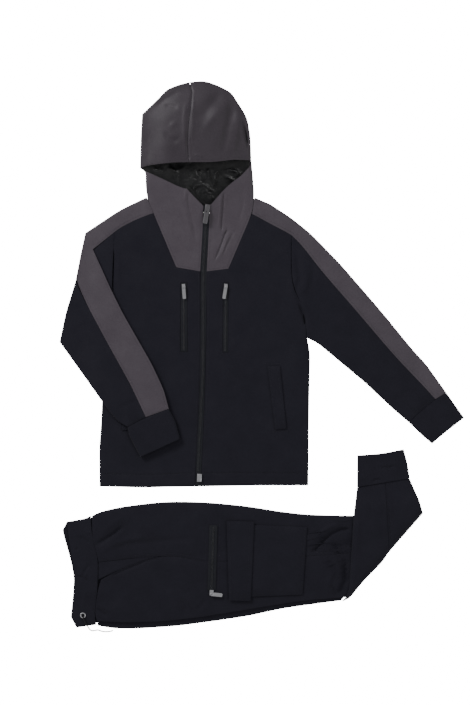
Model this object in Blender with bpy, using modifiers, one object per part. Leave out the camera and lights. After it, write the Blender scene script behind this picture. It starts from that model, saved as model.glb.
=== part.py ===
"""A boys' zipped hooded jacket and jogging trousers, laid out flat as a set.

Metres, +Z up. +Y runs from the trousers to the hood, and the cloth rests on z = 0.
Plan positions are knots on the flat set, one unit of a knot being PLAN_STEP. Knot x runs to +X and knot y to -Y.
"""

import math

import bmesh
import bpy
from mathutils import Vector

MM = 0.001

# Scale of the plan knots, and the knot that lies over the origin
PLAN_STEP = 2.0 * MM
MIDDLE = (261.8, 354.65)

# Cloths
KNIT = 1.6 * MM
WOVEN = 1.2 * MM
LINING = 1.0 * MM
RIB = 2.0 * MM
SEAM = 0.4 * MM
CLEAR = 0.35 * MM

# Heights of the laid jacket
BODY_TOP = 6.4 * MM
BODY_EDGE = 3.8 * MM
BODY_PRESSED = 4.0 * MM
SLEEVE_HIGH = 5.6 * MM
STRIP_EDGE = 5.5 * MM
SHADE_MARGIN = 22 * MM
CUFF_HIGH = 7.0 * MM
HINGE_HIGH = 3.7 * MM
COLLAR_LIFT = 6.0 * MM
HOOD_FOLD = 3.0 * MM
HOOD_DOME = 16.0 * MM
LINING_FOLD = 1.1 * MM
LINING_INSET = 5.0 * MM

# Heights of the laid trousers
STACK_TOP = 6.0 * MM
LEG_TOP = 8.5 * MM
SHIN_STEP = 9.0 * MM
SHIN_TOP = 8.0 * MM
WAIST_HIGH = 8.8 * MM
ANKLE_HIGH = 4.5 * MM

# Distances of the grid lines that round off a folded edge
FOLD_LINES = (0.6 * MM, 1.8 * MM, 3.4 * MM)
EDGE_LINES = (3.0 * MM, 9.0 * MM)

# Jacket seams and edges, as plan knots
SIDE_LEFT = [(99.6, 486.3), (99.2, 448.9), (102.6, 401.8), (103, 338)]
ARMHOLE_LEFT = [(103, 338), (105, 318), (111.9, 291.2), (113, 262), (114.5, 232.4)]
SHOULDER_LEFT = [(114.5, 232.4), (120, 228), (140, 218), (153.5, 213.3)]
SIDE_RIGHT = [(308.4, 485.4), (308.7, 442), (309.2, 401), (310.2, 351), (306.9, 338)]
ARMHOLE_RIGHT = [(306.9, 338), (304.3, 310), (293.9, 289.3), (291.5, 275.4), (291.5, 235)]
SHOULDER_RIGHT = [(251.9, 214), (270, 223.9), (291.5, 235)]
HEM_LEFT = [(99.6, 486.3), (143.6, 487.6), (195, 485.9)]
HEM_RIGHT = [(200.8, 485.8), (251, 485.4), (308.4, 485.4)]
ZIP_LEFT = [(195, 485.9), (195.2, 480), (200.2, 370), (200.4, 271.6)]
ZIP_RIGHT = [(200.8, 485.8), (201, 480), (206.2, 370), (206.6, 271.6)]
YOKE_LEFT = [(200.4, 271.6), (176.2, 267.5), (153.5, 213.3)]
YOKE_RIGHT = [(206.6, 271.6), (228.5, 268.9), (251.9, 214)]
NECK_ZIP_LEFT = [(200.4, 271.6), (202.9, 226), (203.4, 206)]
NECK_ZIP_RIGHT = [(206.6, 271.6), (208.9, 226), (209.6, 206)]
MOUTH_LEFT = [(145.6, 171.6), (164.2, 179.8), (180.3, 187.9), (187, 189.2), (195, 197.9), (203.4, 206)]
MOUTH_RIGHT = [(209.6, 206), (213.7, 201.9), (223.1, 190.5), (233.8, 181.2), (240.5, 177.1), (251.6, 165)]
NECK_LEFT = [(153.5, 213.3), (146.8, 197.2), (145.4, 185), (145.6, 171.6)]
NECK_RIGHT = [(251.9, 214), (254.6, 197.5), (252.6, 186.5), (251.6, 165)]
BACK_NECK = [(153.5, 213.3), (203, 213), (251.9, 214)]

# Hood
HOOD_SEAM = [(189, 162.9), (187.6, 145), (189, 123.6), (191, 107.5), (192.3, 92.1)]
NAPE_SEAM = [(203, 213), (196, 190), (189, 162.9)]
RIM_LEFT = [(140.1, 168.4), (146.8, 165.8), (173.6, 163.1), (189, 162.9)]
RIM_RIGHT = [(189, 162.9), (213.7, 162.8), (234.5, 160.0), (251.4, 160.6)]
HOOD_LEFT = [(140.1, 168.4), (140.8, 137), (142.1, 114.2), (157.5, 99.5), (166.9, 89.4), (178.9, 84.7),
             (189.4, 82.2)]
HOOD_RIGHT = [(251.4, 160.6), (250.6, 137), (247.2, 116.9), (239.2, 104.8), (231.2, 92.1), (216.4, 84.7),
              (204.4, 80.7), (189.8, 82.2)]
NAPE_LEFT = [(153.5, 213.3), (146.8, 196.6), (145.4, 171.8), (140.1, 168.4)]
NAPE_RIGHT = [(251.9, 214), (254.6, 197.2), (252.6, 171.8), (251.4, 160.6)]
HOOD_CENTRE = (196, 140)

# Right sleeve, as seen from above
RIDGE_RIGHT = [(254.6, 197.5), (270, 204), (290.7, 217.5), (309.9, 232.7), (340.2, 263.8), (381.6, 311.6),
               (412.9, 350), (426, 364), (446.2, 392.4)]
STRIPE_RIGHT = [(251.9, 214), (270, 223.9), (291.5, 235), (305.1, 249.4), (322.6, 273.3), (354.5, 308.4),
                (391.2, 353.1), (420, 382.6), (435.2, 399.3)]
UNDERARM_RIGHT = [(306.9, 338), (317.8, 343.5), (365.7, 383.4), (392.8, 408.9), (408.9, 422.6)]
WRIST_RIGHT = [(408.9, 422.6), (417.3, 413.9), (435.2, 399.3)]
CUFF_RIGHT_LOW = [(408.9, 422.6), (422.4, 435.8), (431.9, 443.7)]
CUFF_RIGHT_HIGH = [(446.2, 392.4), (464, 417.7)]
CUFF_RIGHT_END = [(431.9, 443.7), (437.8, 438.4), (451, 427.7), (464, 417.7)]

# Left sleeve, folded over the front
RIDGE_LEFT = [(85.3, 233), (120, 210), (146.8, 197.2)]
SHOULDER_STRIP = [(93, 249.5), (114.5, 232.4), (120, 228), (140, 218), (153.5, 213.3)]
OUTER_TOP = [(75.4, 281.4), (79, 262), (85.3, 233)]
ELBOW_FOLD = [(127.5, 427), (116.8, 420.5), (103, 402.5), (59.6, 342), (66, 312), (75.4, 281.4)]
STRIPE_LOW = [(145.9, 417.2), (130.2, 383.8), (109.1, 345.9), (88, 306.6), (75.4, 281.4)]
STRIPE_HIGH = [(168.9, 408.8), (163.8, 389.4), (151.2, 362.8), (123.1, 313.7), (111.9, 291.2), (93, 249.5)]
WRIST_LEFT = [(127.5, 427), (145.9, 417.2)]
CUFF_LEFT_LOW = [(127.5, 427), (129.5, 436), (140.5, 456.8)]
CUFF_LEFT_HIGH = [(168.9, 408.8), (175.5, 421), (180.2, 438.6)]
STRIP_CORNER = (76.5, 281.2)
SLEEVE_SHADE = [(93, 249.5), (111.9, 291.2), (123.1, 313.7), (151.2, 362.8), (163.8, 389.4), (168.9, 408.8),
                (175.5, 421), (180.2, 438.6), (140.5, 456.8), (127.5, 427), (103, 402.5), (59.6, 342), (75.4, 281.4)]

# Trousers
LEG_RIDGE = [(91.8, 516.0), (98.5, 511.8), (118.9, 507), (149.5, 503), (167.3, 501.4), (190.3, 501.4),
             (215.8, 502.7), (250, 506.3), (279.3, 511.2), (306, 514.3), (330, 515.2), (411, 516)]
SIDE_SEAM = [(98.5, 562), (139.3, 557.2), (161, 555.9), (177.6, 555.9), (209.4, 561.6), (232, 561),
             (279.3, 557.1), (329.3, 554.5), (386, 550)]
POCKET_MOUTH = [(101, 579.5), (113.8, 571.8), (131.6, 564.8), (146.9, 558.4), (161, 555.9)]
LEG_UNDERSIDE = [(97.2, 620.9), (126.5, 622.2), (164.8, 620.9), (203, 616.5), (250, 608.8), (270.4, 605.4),
                 (306, 600), (345, 597)]
STACK_SOUTH = [(97.8, 625.6), (113.8, 628.6), (139.3, 628.6), (177.6, 626), (215.8, 620.9), (250, 615.8),
               (279.3, 608.9), (330, 601.8), (341, 600.6)]
STACK_NORTH = [(92.6, 517.6), (118.9, 509), (149.5, 505), (190.3, 503.4), (215.8, 504.7), (250, 508.3),
               (279.3, 513.2), (306, 516.3), (330, 517.2), (409, 518)]
STACK_WEST = [(97.8, 625.6), (96.4, 613.9), (99.2, 589.7), (99.9, 562), (98.6, 554), (94.2, 541.2), (92.6, 517.6)]
STACK_EAST = [(341, 600.6), (358, 580), (379, 557.5), (409, 518)]
WAIST_SEAM = [(96.4, 624.6), (94.6, 613.9), (97.8, 589.7), (98.5, 562), (97.2, 554), (92.7, 541.2), (90.8, 515.5)]
WAIST_TOP_EDGE = [(76.8, 627.6), (71, 616.5), (75.5, 575), (69.1, 538.9), (67, 521.4)]
WAIST_BACK_EDGE = [(76.8, 627.6), (72, 616.5), (75.5, 575), (64.5, 539), (62.6, 530), (67, 521.4)]
WAIST_NORTH = [(67, 521.4), (85.7, 518.3), (90.8, 515.5)]
WAIST_SOUTH = [(76.8, 627.6), (96.4, 624.6)]
SHIN_SEAM = [(388.5, 552.6), (388, 535), (386.5, 510), (385, 482.4)]
SHIN_BACK = [(342.5, 601.4), (348.9, 590.5), (353.3, 515.3), (355.3, 500), (356.9, 487.2)]
SHIN_FRONT = [(422.9, 513.3), (419, 500), (409.5, 478.3)]
DIAGONAL_BACK = [(342.5, 601.4), (350.8, 597.5), (361.6, 582.9), (383.3, 561.2), (388.5, 552.6)]
DIAGONAL_FRONT = [(388.5, 552.6), (392.2, 548.4), (422.9, 513.3)]
ANKLE_BACK = [(356.9, 487.2), (385, 482.4)]
ANKLE_FRONT = [(385, 482.4), (409.5, 478.3)]
ANKLE_SEAM = [(356.9, 487.2), (385, 482.4), (409.5, 478.3)]
ANKLE_WEST = [(356.9, 487.2), (357.2, 455.3)]
ANKLE_EAST = [(409.5, 478.3), (407.6, 464), (403.5, 449.2)]
ANKLE_END = [(357.2, 455.3), (382, 453.6), (403.5, 449.2)]
SHIN_STACK_WEST = [(350, 594), (352, 588), (356.6, 515.3), (359.5, 488.6)]
SHIN_STACK_EAST = [(417.5, 513.5), (406.5, 480.6)]
SHIN_STACK_SOUTH = [(350, 594), (361, 577), (383, 554), (417.5, 513.5)]
SHIN_STACK_NORTH = [(359.5, 488.6), (406.5, 480.6)]

# The drawcord, from the eyelet over the waist edge and back to the leg, as knots with a height in millimetres
CORD_ROUTE = [(83.4, 615.4, 11.4), (83.8, 617.7, 13.2), (84.8, 620.6, 12.0), (86.6, 623.6, 10.9), (88.4, 626.8, 8.0),
              (89.6, 629.0, 3.4), (91.9, 630.6, 1.6), (94.7, 630.4, 1.6), (98.0, 629.9, 1.6), (101.3, 631.0, 1.6),
              (104.9, 631.6, 1.6), (108.2, 631.5, 1.6), (111.4, 631.0, 1.6), (112.9, 630.2, 1.6)]
CORD_RADIUS = 1.25 * MM


def plan(knot):
    """The point on the ground under a plan knot."""
    return Vector(((knot[0] - MIDDLE[0]) * PLAN_STEP, (MIDDLE[1] - knot[1]) * PLAN_STEP, 0.0))


def smooth(t):
    """An even blend from 0 to 1."""
    t = min(max(t, 0.0), 1.0)
    return t * t * (3.0 - 2.0 * t)


def rise(distance, radius):
    """A quarter round from 0 at an edge to 1 at the radius."""
    if distance < 0.02 * MM:
        return 0.0
    t = min(distance / radius, 1.0)
    return math.sqrt(1.0 - (1.0 - t) ** 2)


def distance_to(x, y, knots):
    """How far a plan point is from a line of knots."""
    point = Vector((x, y, 0.0))
    best = math.inf
    line = [plan(k) for k in knots]
    for a, b in zip(line, line[1:]):
        along = b - a
        t = min(max((point - a).dot(along) / along.length_squared, 0.0), 1.0)
        best = min(best, (point - a - along * t).length)
    return best


def outside(x, y, knots):
    """How far a plan point is outside a closed outline of knots, 0 inside it."""
    line = [plan(k) for k in knots]
    inside = False
    for a, b in zip(line, line[1:] + line[:1]):
        if (a.y > y) != (b.y > y) and x < a.x + (y - a.y) / (b.y - a.y) * (b.x - a.x):
            inside = not inside
    return 0.0 if inside else distance_to(x, y, knots + knots[:1])


def edge(knots, count, head=(), tail=()):
    """Points along a line of knots: each knot, `count` parts between, and the extra ones near either end."""
    line = [plan(k) for k in knots]
    reached = [0.0]
    for a, b in zip(line, line[1:]):
        reached.append(reached[-1] + (b - a).length)
    start, stop = max(head, default=0.0), reached[-1] - max(tail, default=0.0)
    stops = [start] + [d for d in reached if start + MM < d < stop - MM] + [stop]
    parts = [1] * (len(stops) - 1)
    while sum(parts) < count:
        longest = max(range(len(parts)), key=lambda i: (stops[i + 1] - stops[i]) / parts[i])
        parts[longest] += 1
    if sum(parts) != count:
        raise ValueError(f"{len(parts)} stretches need more than {count} parts")
    places = [0.0] if head else []
    places += list(head[:-1])
    for a, b, n in zip(stops, stops[1:], parts):
        places += [a + (b - a) * i / n for i in range(n)]
    places.append(stop)
    places += [reached[-1] - d for d in sorted(tail, reverse=True)[1:]]
    if tail:
        places.append(reached[-1])
    points = []
    for place in places:
        i = next(i for i in range(len(line) - 1) if place <= reached[i + 1] + 1e-9 or i == len(line) - 2)
        t = (place - reached[i]) / (reached[i + 1] - reached[i])
        points.append(line[i].lerp(line[i + 1], t))
    return points


def shares(line):
    """How far along a line each of its points is, from 0 to 1, or None for a line with no length."""
    reached = [0.0]
    for a, b in zip(line, line[1:]):
        reached.append(reached[-1] + (b - a).length)
    return [d / reached[-1] for d in reached] if reached[-1] else None


def mean_shares(line, other):
    """The mean of two sides' shares. A side that is drawn together to one point has none of its own."""
    one, two = shares(line), shares(other)
    if not (one and two):
        return one or two
    return [(a + b) / 2 for a, b in zip(one, two)]


def patch(bm, south, north, west, east, height, seams="", up=True, joined=False):
    """A panel of cloth between four edges: a grid moved onto them, with a height at each point.

    `seams` names the sides, of s, n, w and e, that stand half a seam clear of the next panel.
    A `joined` panel takes its north points exactly as given, from the panel that it runs on from.
    """
    columns, rows = len(south) - 1, len(west) - 1
    grid = {}
    for vert in bmesh.ops.create_grid(bm, x_segments=columns, y_segments=rows, size=1.0)["verts"]:
        grid[round((vert.co.x + 1) / 2 * columns), round((vert.co.y + 1) / 2 * rows)] = vert
    across, along = mean_shares(south, north), mean_shares(west, east)
    for (i, j), vert in grid.items():
        u, v = across[i], along[j]
        corners = south[0] * (1 - u) * (1 - v) + south[-1] * u * (1 - v) + north[0] * (1 - u) * v + north[-1] * u * v
        vert.co = south[i].lerp(north[i], v) + west[j].lerp(east[j], u) - corners
    sides = {
        "s": [((i, 0), (i, 1)) for i in range(columns + 1)],
        "n": [((i, rows), (i, rows - 1)) for i in range(columns + 1)],
        "w": [((0, j), (1, j)) for j in range(rows + 1)],
        "e": [((columns, j), (columns - 1, j)) for j in range(rows + 1)],
    }
    moves = {place: Vector() for line in sides.values() for place, _ in line}
    for side in seams:
        line = sides[side]
        for k, (outer, inner) in enumerate(line):
            before, after = line[max(k - 1, 0)][0], line[min(k + 1, len(line) - 1)][0]
            run = (grid[after].co - grid[before].co).normalized()
            inward = grid[inner].co - grid[outer].co
            inward -= run * inward.dot(run)
            moves[outer] += inward.normalized() * SEAM / 2
    for place, move in moves.items():
        if shares(north) or place[1] < rows:
            grid[place].co += move
    if joined:
        for i, point in enumerate(north):
            grid[i, rows].co = point
    for vert in grid.values():
        vert.co.z = height(vert.co.x, vert.co.y)
    faces = list({face for vert in grid.values() for face in vert.link_faces})
    bmesh.ops.recalc_face_normals(bm, faces=faces)
    bm.normal_update()
    if (sum(face.normal.z * face.calc_area() for face in faces) > 0) != up:
        bmesh.ops.reverse_faces(bm, faces=faces)
    return grid


def material(name, colour, roughness, metallic=0.0):
    """A Principled material with a linear colour."""
    made = bpy.data.materials.new(name)
    made.use_nodes = True
    shader = made.node_tree.nodes["Principled BSDF"]
    shader.inputs["Base Color"].default_value = (*colour, 1.0)
    shader.inputs["Roughness"].default_value = roughness
    shader.inputs["Metallic"].default_value = metallic
    made.diffuse_color = (*colour, 1.0)
    return made


def add(name, mesh, finish, parent=None):
    """An object for a finished mesh, in the tracksuit's collection."""
    obj = bpy.data.objects.new(name, mesh)
    obj.data.materials.append(finish)
    PARTS.objects.link(obj)
    obj.parent = parent
    return obj


def cloth(name, finish, thickness, build, smoothed=True):
    """A piece of cloth: build() lays its outer face, and Solidify gives it its thickness inwards."""
    bm = bmesh.new()
    build(bm)
    bmesh.ops.remove_doubles(bm, verts=bm.verts, dist=0.02 * MM)
    mesh = bpy.data.meshes.new(name)
    bm.to_mesh(mesh)
    bm.free()
    if smoothed:
        mesh.shade_smooth()
    obj = add(name, mesh, finish)
    solid = obj.modifiers.new("thickness", "SOLIDIFY")
    solid.thickness = thickness
    solid.offset = -1.0
    return obj


def slab(name, finish, south, north, west, east, low, high):
    """Hidden layers as one rounded solid, grooved round its side where the layers meet."""
    bm = bmesh.new()
    patch(bm, south, north, west, east, high)
    ring = [(-0.7, 0.72), (0.0, 0.5), (-1.0, 0.36), (0.0, 0.2), (-1.6, 0.0)]
    border = [e for e in bm.edges if e.is_boundary]
    edge_verts = {v for e in border for v in e.verts}
    outward = {}
    for vert in edge_verts:
        turn = Vector()
        for e in vert.link_edges:
            if e.is_boundary:
                middle = e.link_faces[0].calc_center_median() - (e.verts[0].co + e.verts[1].co) / 2
                run = (e.verts[1].co - e.verts[0].co).normalized()
                middle -= run * middle.dot(run)
                turn -= Vector((middle.x, middle.y, 0.0)).normalized()
        outward[vert] = turn.normalized()
    tops = {v: (v.co.copy(), outward[v]) for v in edge_verts}
    for vert in edge_verts:
        vert.co += outward[vert] * -2.2 * MM
    for step, share in ring:
        made = bmesh.ops.extrude_edge_only(bm, edges=border)["geom"]
        border = [g for g in made if isinstance(g, bmesh.types.BMEdge) and g.is_boundary]
        fresh = {v for e in border for v in e.verts}
        moved = {}
        for vert in fresh:
            source = next(o.other_vert(vert) for o in vert.link_edges if o.other_vert(vert) in tops)
            place, turn = tops[source]
            bottom = low(place.x, place.y)
            vert.co = place + turn * step * MM
            vert.co.z = bottom + (place.z - bottom) * share
            moved[vert] = (place, turn)
        tops = moved
    floor = patch(bm, south, north, west, east, low, up=False)
    rim = {v: tops[v][0] for v in tops}
    for vert in floor.values():
        match = [r for r, place in rim.items() if (vert.co.xy - place.xy).length < 0.05 * MM]
        if match:
            vert.co = match[0].co
    bmesh.ops.remove_doubles(bm, verts=bm.verts, dist=0.02 * MM)
    bmesh.ops.recalc_face_normals(bm, faces=bm.faces)
    mesh = bpy.data.meshes.new(name)
    bm.to_mesh(mesh)
    bm.free()
    mesh.shade_smooth()
    return add(name, mesh, finish)


def front_top(x, y):
    """The upper face of the laid fronts, pressed down where the folded sleeve lies on them."""
    side = min(distance_to(x, y, SIDE_LEFT), distance_to(x, y, SIDE_RIGHT))
    hem = distance_to(x, y, [HEM_LEFT[0], HEM_LEFT[1], HEM_RIGHT[1], HEM_RIGHT[2]])
    free = smooth((outside(x, y, SLEEVE_SHADE) - SHADE_MARGIN) / (15 * MM))
    top = BODY_PRESSED + (BODY_TOP - BODY_PRESSED) * free
    bulge = Vector((x, y, 0.0)) - plan((300, 282))
    top += 2.2 * MM * smooth(1 - bulge.length / (60 * MM))
    top = BODY_EDGE + (top - BODY_EDGE) * rise(side, 10 * MM)
    return BODY_EDGE + (top - BODY_EDGE) * rise(hem + 1.5 * MM, 9 * MM)


def neck_top(x, y):
    """The upper face of the neck and yoke, which rises to the edge of the hood's mouth."""
    mouth = min(distance_to(x, y, MOUTH_LEFT), distance_to(x, y, MOUTH_RIGHT))
    fold = min(distance_to(x, y, NECK_LEFT[1:]), distance_to(x, y, NECK_RIGHT[1:]))
    top = BODY_TOP + COLLAR_LIFT * smooth(1 - mouth / (46 * MM))
    low = 4.6 * MM
    return low + (top - low) * rise(fold, 12 * MM)


def flat_tube(edges, base, high, bottom):
    """The height of a sleeve laid flat: its upper face, or its lower one, meeting half-way up at folded edges."""
    half = high / 2

    def height(x, y):
        fold = min(distance_to(x, y, knots) for knots in edges)
        turn = half * rise(fold, half)
        return base(x, y) + half + (-turn if bottom else turn)

    return height


def floor_height(x, y):
    """The surface that the set lies on."""
    return 0.0


def sleeve_base(x, y):
    """The lower face of the left sleeve, from the floor up onto the front that it is folded over."""
    knot_x, knot_y = x / PLAN_STEP + MIDDLE[0], MIDDLE[1] - y / PLAN_STEP
    over = 4.7 * MM + 1.8 * MM * smooth((knot_y - 338) / 22)
    return over * smooth((knot_x - 84) / 16)


def hood_faces(outlines, half, dome):
    """The outer faces of the hood's upper and lower halves, which meet at its folded outline."""
    def turn(x, y):
        rim = min(distance_to(x, y, knots) for knots in outlines)
        return half * rise(rim, half), dome * smooth((rim - 1.5 * MM) / (52 * MM))

    return (lambda x, y: HOOD_FOLD + sum(turn(x, y))), (lambda x, y: HOOD_FOLD - turn(x, y)[0])


def shrunk(knots):
    """Knots of the hood's edge, moved in to where its lining turns."""
    centre = Vector(HOOD_CENTRE)
    moved = []
    for knot in knots:
        arm = Vector(knot) - centre
        moved.append(tuple(centre + arm * (1 - LINING_INSET / PLAN_STEP / arm.length)))
    return moved


def leg_top(x, y):
    """The upper face of the upper leg."""
    ridge = distance_to(x, y, LEG_RIDGE)
    under = distance_to(x, y, LEG_UNDERSIDE)
    top = 5.2 * MM + (LEG_TOP - 5.2 * MM) * rise(ridge + 0.5 * MM, 8 * MM)
    return top - 0.5 * MM * (1 - rise(under, 6 * MM))


def stack_top(x, y):
    """The upper face of the layers hidden under the upper leg."""
    rim = min(distance_to(x, y, k) for k in (STACK_NORTH, STACK_SOUTH, STACK_EAST))
    return 3.2 * MM + (STACK_TOP - 3.2 * MM) * rise(rim, 8 * MM)


def shin_floor(x, y):
    """What the folded-up shin lies on: the thighs, then the floor beyond them."""
    knot_y = MIDDLE[1] - y / PLAN_STEP
    return SHIN_STEP * smooth((knot_y - 488) / 18)


def shin_top(x, y):
    """The upper face of the folded-up shin."""
    floor = shin_floor(x, y)
    side = min(distance_to(x, y, SHIN_BACK), distance_to(x, y, SHIN_FRONT))
    fold = min(distance_to(x, y, DIAGONAL_BACK), distance_to(x, y, DIAGONAL_FRONT))
    top = floor + 2.8 * MM + (SHIN_TOP - 2.8 * MM) * rise(side, 8 * MM)
    return 1.8 * MM + (top - 1.8 * MM) * rise(fold, 12 * MM)


def shin_stack_low(x, y):
    """The lower face of the layers hidden in the folded-up shin."""
    return shin_floor(x, y) + (0.4 * MM if shin_floor(x, y) > 0.1 * MM else 0.0)


def shin_stack_top(x, y):
    """The upper face of the layers hidden in the folded-up shin."""
    rim = min(distance_to(x, y, k) for k in (SHIN_STACK_WEST, SHIN_STACK_EAST, SHIN_STACK_SOUTH))
    return shin_floor(x, y) + 2.4 * MM + 2.6 * MM * rise(rim, 9 * MM)


def raised(surface, by):
    """A height function that lies above another."""
    return lambda x, y: surface(x, y) + by


def jacket_back(bm):
    """The back panel, flat on the floor."""
    patch(
        bm,
        edge([HEM_LEFT[0], HEM_LEFT[1], HEM_RIGHT[1], HEM_RIGHT[2]], 12),
        edge(SHOULDER_LEFT + BACK_NECK[1:] + SHOULDER_RIGHT[1:], 12),
        edge(SIDE_LEFT + ARMHOLE_LEFT[1:], 14),
        edge(SIDE_RIGHT + ARMHOLE_RIGHT[1:], 14),
        floor_height,
        seams="nwe",
        up=False,
    )


def front_left(bm):
    """The front under the folded sleeve, from the side to the zip."""
    patch(
        bm,
        edge(HEM_LEFT, 5, head=EDGE_LINES),
        edge(SHOULDER_LEFT, 5, head=EDGE_LINES),
        edge(SIDE_LEFT + ARMHOLE_LEFT[1:], 22, head=(7 * MM,)),
        edge(ZIP_LEFT + YOKE_LEFT[1:], 22, head=(7 * MM,)),
        front_top,
        seams="nwe",
    )


def front_right(bm):
    """The front that shows whole, from the zip to the side."""
    patch(
        bm,
        edge(HEM_RIGHT, 5, tail=EDGE_LINES),
        edge(SHOULDER_RIGHT, 5, tail=EDGE_LINES),
        edge(ZIP_RIGHT + YOKE_RIGHT[1:], 22, head=(7 * MM,)),
        edge(SIDE_RIGHT + ARMHOLE_RIGHT[1:], 22, head=(7 * MM,)),
        front_top,
        seams="nwe",
    )


def yoke_left(bm):
    """The grey neck piece left of the zip."""
    patch(
        bm,
        edge(YOKE_LEFT[:2][::-1], 5, head=EDGE_LINES),
        edge(MOUTH_LEFT, 5, head=EDGE_LINES),
        edge([YOKE_LEFT[1]] + NECK_LEFT, 8),
        edge(NECK_ZIP_LEFT, 8),
        neck_top,
        seams="swe",
    )


def yoke_right(bm):
    """The grey neck piece right of the zip."""
    patch(
        bm,
        edge(YOKE_RIGHT[:2], 5, tail=EDGE_LINES),
        edge(MOUTH_RIGHT, 5, tail=EDGE_LINES),
        edge(NECK_ZIP_RIGHT, 8),
        edge([YOKE_RIGHT[1]] + NECK_RIGHT, 8),
        neck_top,
        seams="swe",
    )


def hood_bag(bm, left, rim, outline, seam, nape, faces, folds, seamed, columns=6, rows=12):
    """One half of a hood: over the top from the rim, round the folded outline, and underneath to the nape."""
    apex = outline[-1]
    ends = {"head": folds} if left else {"tail": folds}
    south = edge(rim, columns, **ends)
    sides = [edge(outline, rows), edge(seam + [apex], rows)]
    west, east = sides if left else sides[::-1]
    north = [plan(apex) for _ in south]
    closed = "" if not seamed else "e" if left else "w"
    patch(bm, south, north, west, east, faces[0], seams=closed)
    lower = patch(bm, south, north, west, east, faces[1], seams=closed, up=False)
    joint = [lower[i, 0].co.copy() for i in range(len(south))]
    nape_edge, nape_side, nape_seam = nape
    sides = [edge(nape_side, 4), edge(nape_seam, 4)]
    west, east = sides if left else sides[::-1]
    patch(bm, edge(nape_edge, columns, **ends), joint, west, east, faces[1], seams="swe" if seamed else "", up=False,
          joined=True)


def hood_half(left):
    """Builds one half of the hood's outer cloth."""
    faces = hood_faces([HOOD_LEFT, HOOD_RIGHT], HOOD_FOLD, HOOD_DOME)

    def build(bm):
        if left:
            hood_bag(bm, True, RIM_LEFT, HOOD_LEFT, HOOD_SEAM, (BACK_NECK[:2], NAPE_LEFT, NAPE_SEAM), faces,
                     FOLD_LINES, True)
        else:
            hood_bag(bm, False, RIM_RIGHT, HOOD_RIGHT, HOOD_SEAM, (BACK_NECK[1:], NAPE_RIGHT, NAPE_SEAM), faces,
                     FOLD_LINES, True)

    return build


def hood_lining(bm):
    """The satin lining, inside both halves of the hood."""
    left, right = shrunk(HOOD_LEFT[:-1]), shrunk(HOOD_RIGHT[:-1])
    apex = shrunk([(189.6, 82.2)])
    outlines = [left + apex, right + apex]
    faces = hood_faces(outlines, LINING_FOLD, HOOD_DOME - 2.0 * MM)
    folds = (1.2 * MM, 2.6 * MM)
    centre = [(189, 161)] + HOOD_SEAM[1:]
    nape_seam = [(203, 209.5), (196, 190), (189, 161)]
    nape_left = [(157, 209.5), (150, 196), (149.2, 178), left[0]]
    nape_right = [(248.4, 209.5), (251, 196), (249.6, 178), right[0]]
    hood_bag(bm, True, [left[0], (173.6, 161.2), centre[0]], outlines[0], centre,
             ([nape_left[0], nape_seam[0]], nape_left, nape_seam), faces, folds, False, 5, 10)
    hood_bag(bm, False, [centre[0], (213.7, 160.8), (233.8, 158), right[0]], outlines[1], centre,
             ([nape_seam[0], nape_right[0]], nape_right, nape_seam), faces, folds, False, 5, 10)


def stripe_right(bm):
    """The grey strip over the shoulder and down the sleeve, folded along the sleeve's outer edge."""
    ends = [STRIPE_RIGHT[0], RIDGE_RIGHT[0]], [STRIPE_RIGHT[-1], RIDGE_RIGHT[-1]]
    for bottom in (False, True):
        patch(
            bm,
            edge(STRIPE_RIGHT, 20),
            edge(RIDGE_RIGHT, 20),
            edge(ends[0], 2, tail=FOLD_LINES),
            edge(ends[1], 2, tail=FOLD_LINES),
            flat_tube([RIDGE_RIGHT], floor_height, BODY_TOP, bottom),
            seams="swe",
            up=not bottom,
        )


def sleeve_right(bm):
    """The knitted part of the straight sleeve, folded along the underarm."""
    lower = flat_tube([UNDERARM_RIGHT], floor_height, BODY_TOP, True)
    upper = flat_tube([UNDERARM_RIGHT], floor_height, BODY_TOP, False)

    def swollen(x, y):
        bulge = Vector((x, y, 0.0)) - plan((300, 282))
        return upper(x, y) + 2.2 * MM * smooth(1 - bulge.length / (60 * MM))

    for bottom in (False, True):
        patch(
            bm,
            edge(UNDERARM_RIGHT, 14),
            edge(STRIPE_RIGHT[2:], 14),
            edge(ARMHOLE_RIGHT, 6, head=FOLD_LINES),
            edge(WRIST_RIGHT, 6, head=FOLD_LINES),
            lower if bottom else swollen,
            seams="nwe",
            up=not bottom,
        )


def stripe_left(bm):
    """The grey strip over the left shoulder, turned at the shoulder point and down the folded sleeve."""
    across = [STRIPE_LOW[0], STRIPE_HIGH[0]]
    ridge = RIDGE_LEFT
    upper = flat_tube([ridge], floor_height, BODY_TOP, False)
    lower = flat_tube([ridge], floor_height, BODY_TOP, True)
    neck = [RIDGE_LEFT[-1], SHOULDER_STRIP[-1]]
    mitre = [RIDGE_LEFT[0], SHOULDER_STRIP[0]]

    def strip_top(x, y):
        fold = min(distance_to(x, y, STRIPE_HIGH), distance_to(x, y, OUTER_TOP))
        turned = distance_to(x, y, mitre)
        base = sleeve_base(x, y)
        top = base + STRIP_EDGE + (SLEEVE_HIGH - STRIP_EDGE) * rise(fold, 5 * MM)
        return upper(x, y) + (top - upper(x, y)) * smooth(turned / (24 * MM))

    strip = patch(bm, edge(ridge, 6), edge(SHOULDER_STRIP, 6), edge(mitre, 3, head=FOLD_LINES),
                  edge(neck, 3, head=FOLD_LINES), upper, seams="ne")
    joint = [strip[0, j].co.copy() for j in range(4 + len(FOLD_LINES))]
    patch(bm, edge(ridge, 6), edge(SHOULDER_STRIP, 6), edge(mitre, 3, head=FOLD_LINES),
          edge(neck, 3, head=FOLD_LINES), lower, seams="ne", up=False)
    patch(bm, edge(across, 3, head=FOLD_LINES), joint, edge(STRIPE_LOW[:-1] + [STRIP_CORNER] + OUTER_TOP[1:], 16),
          edge(STRIPE_HIGH, 16), strip_top, seams="sw", joined=True)


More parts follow.
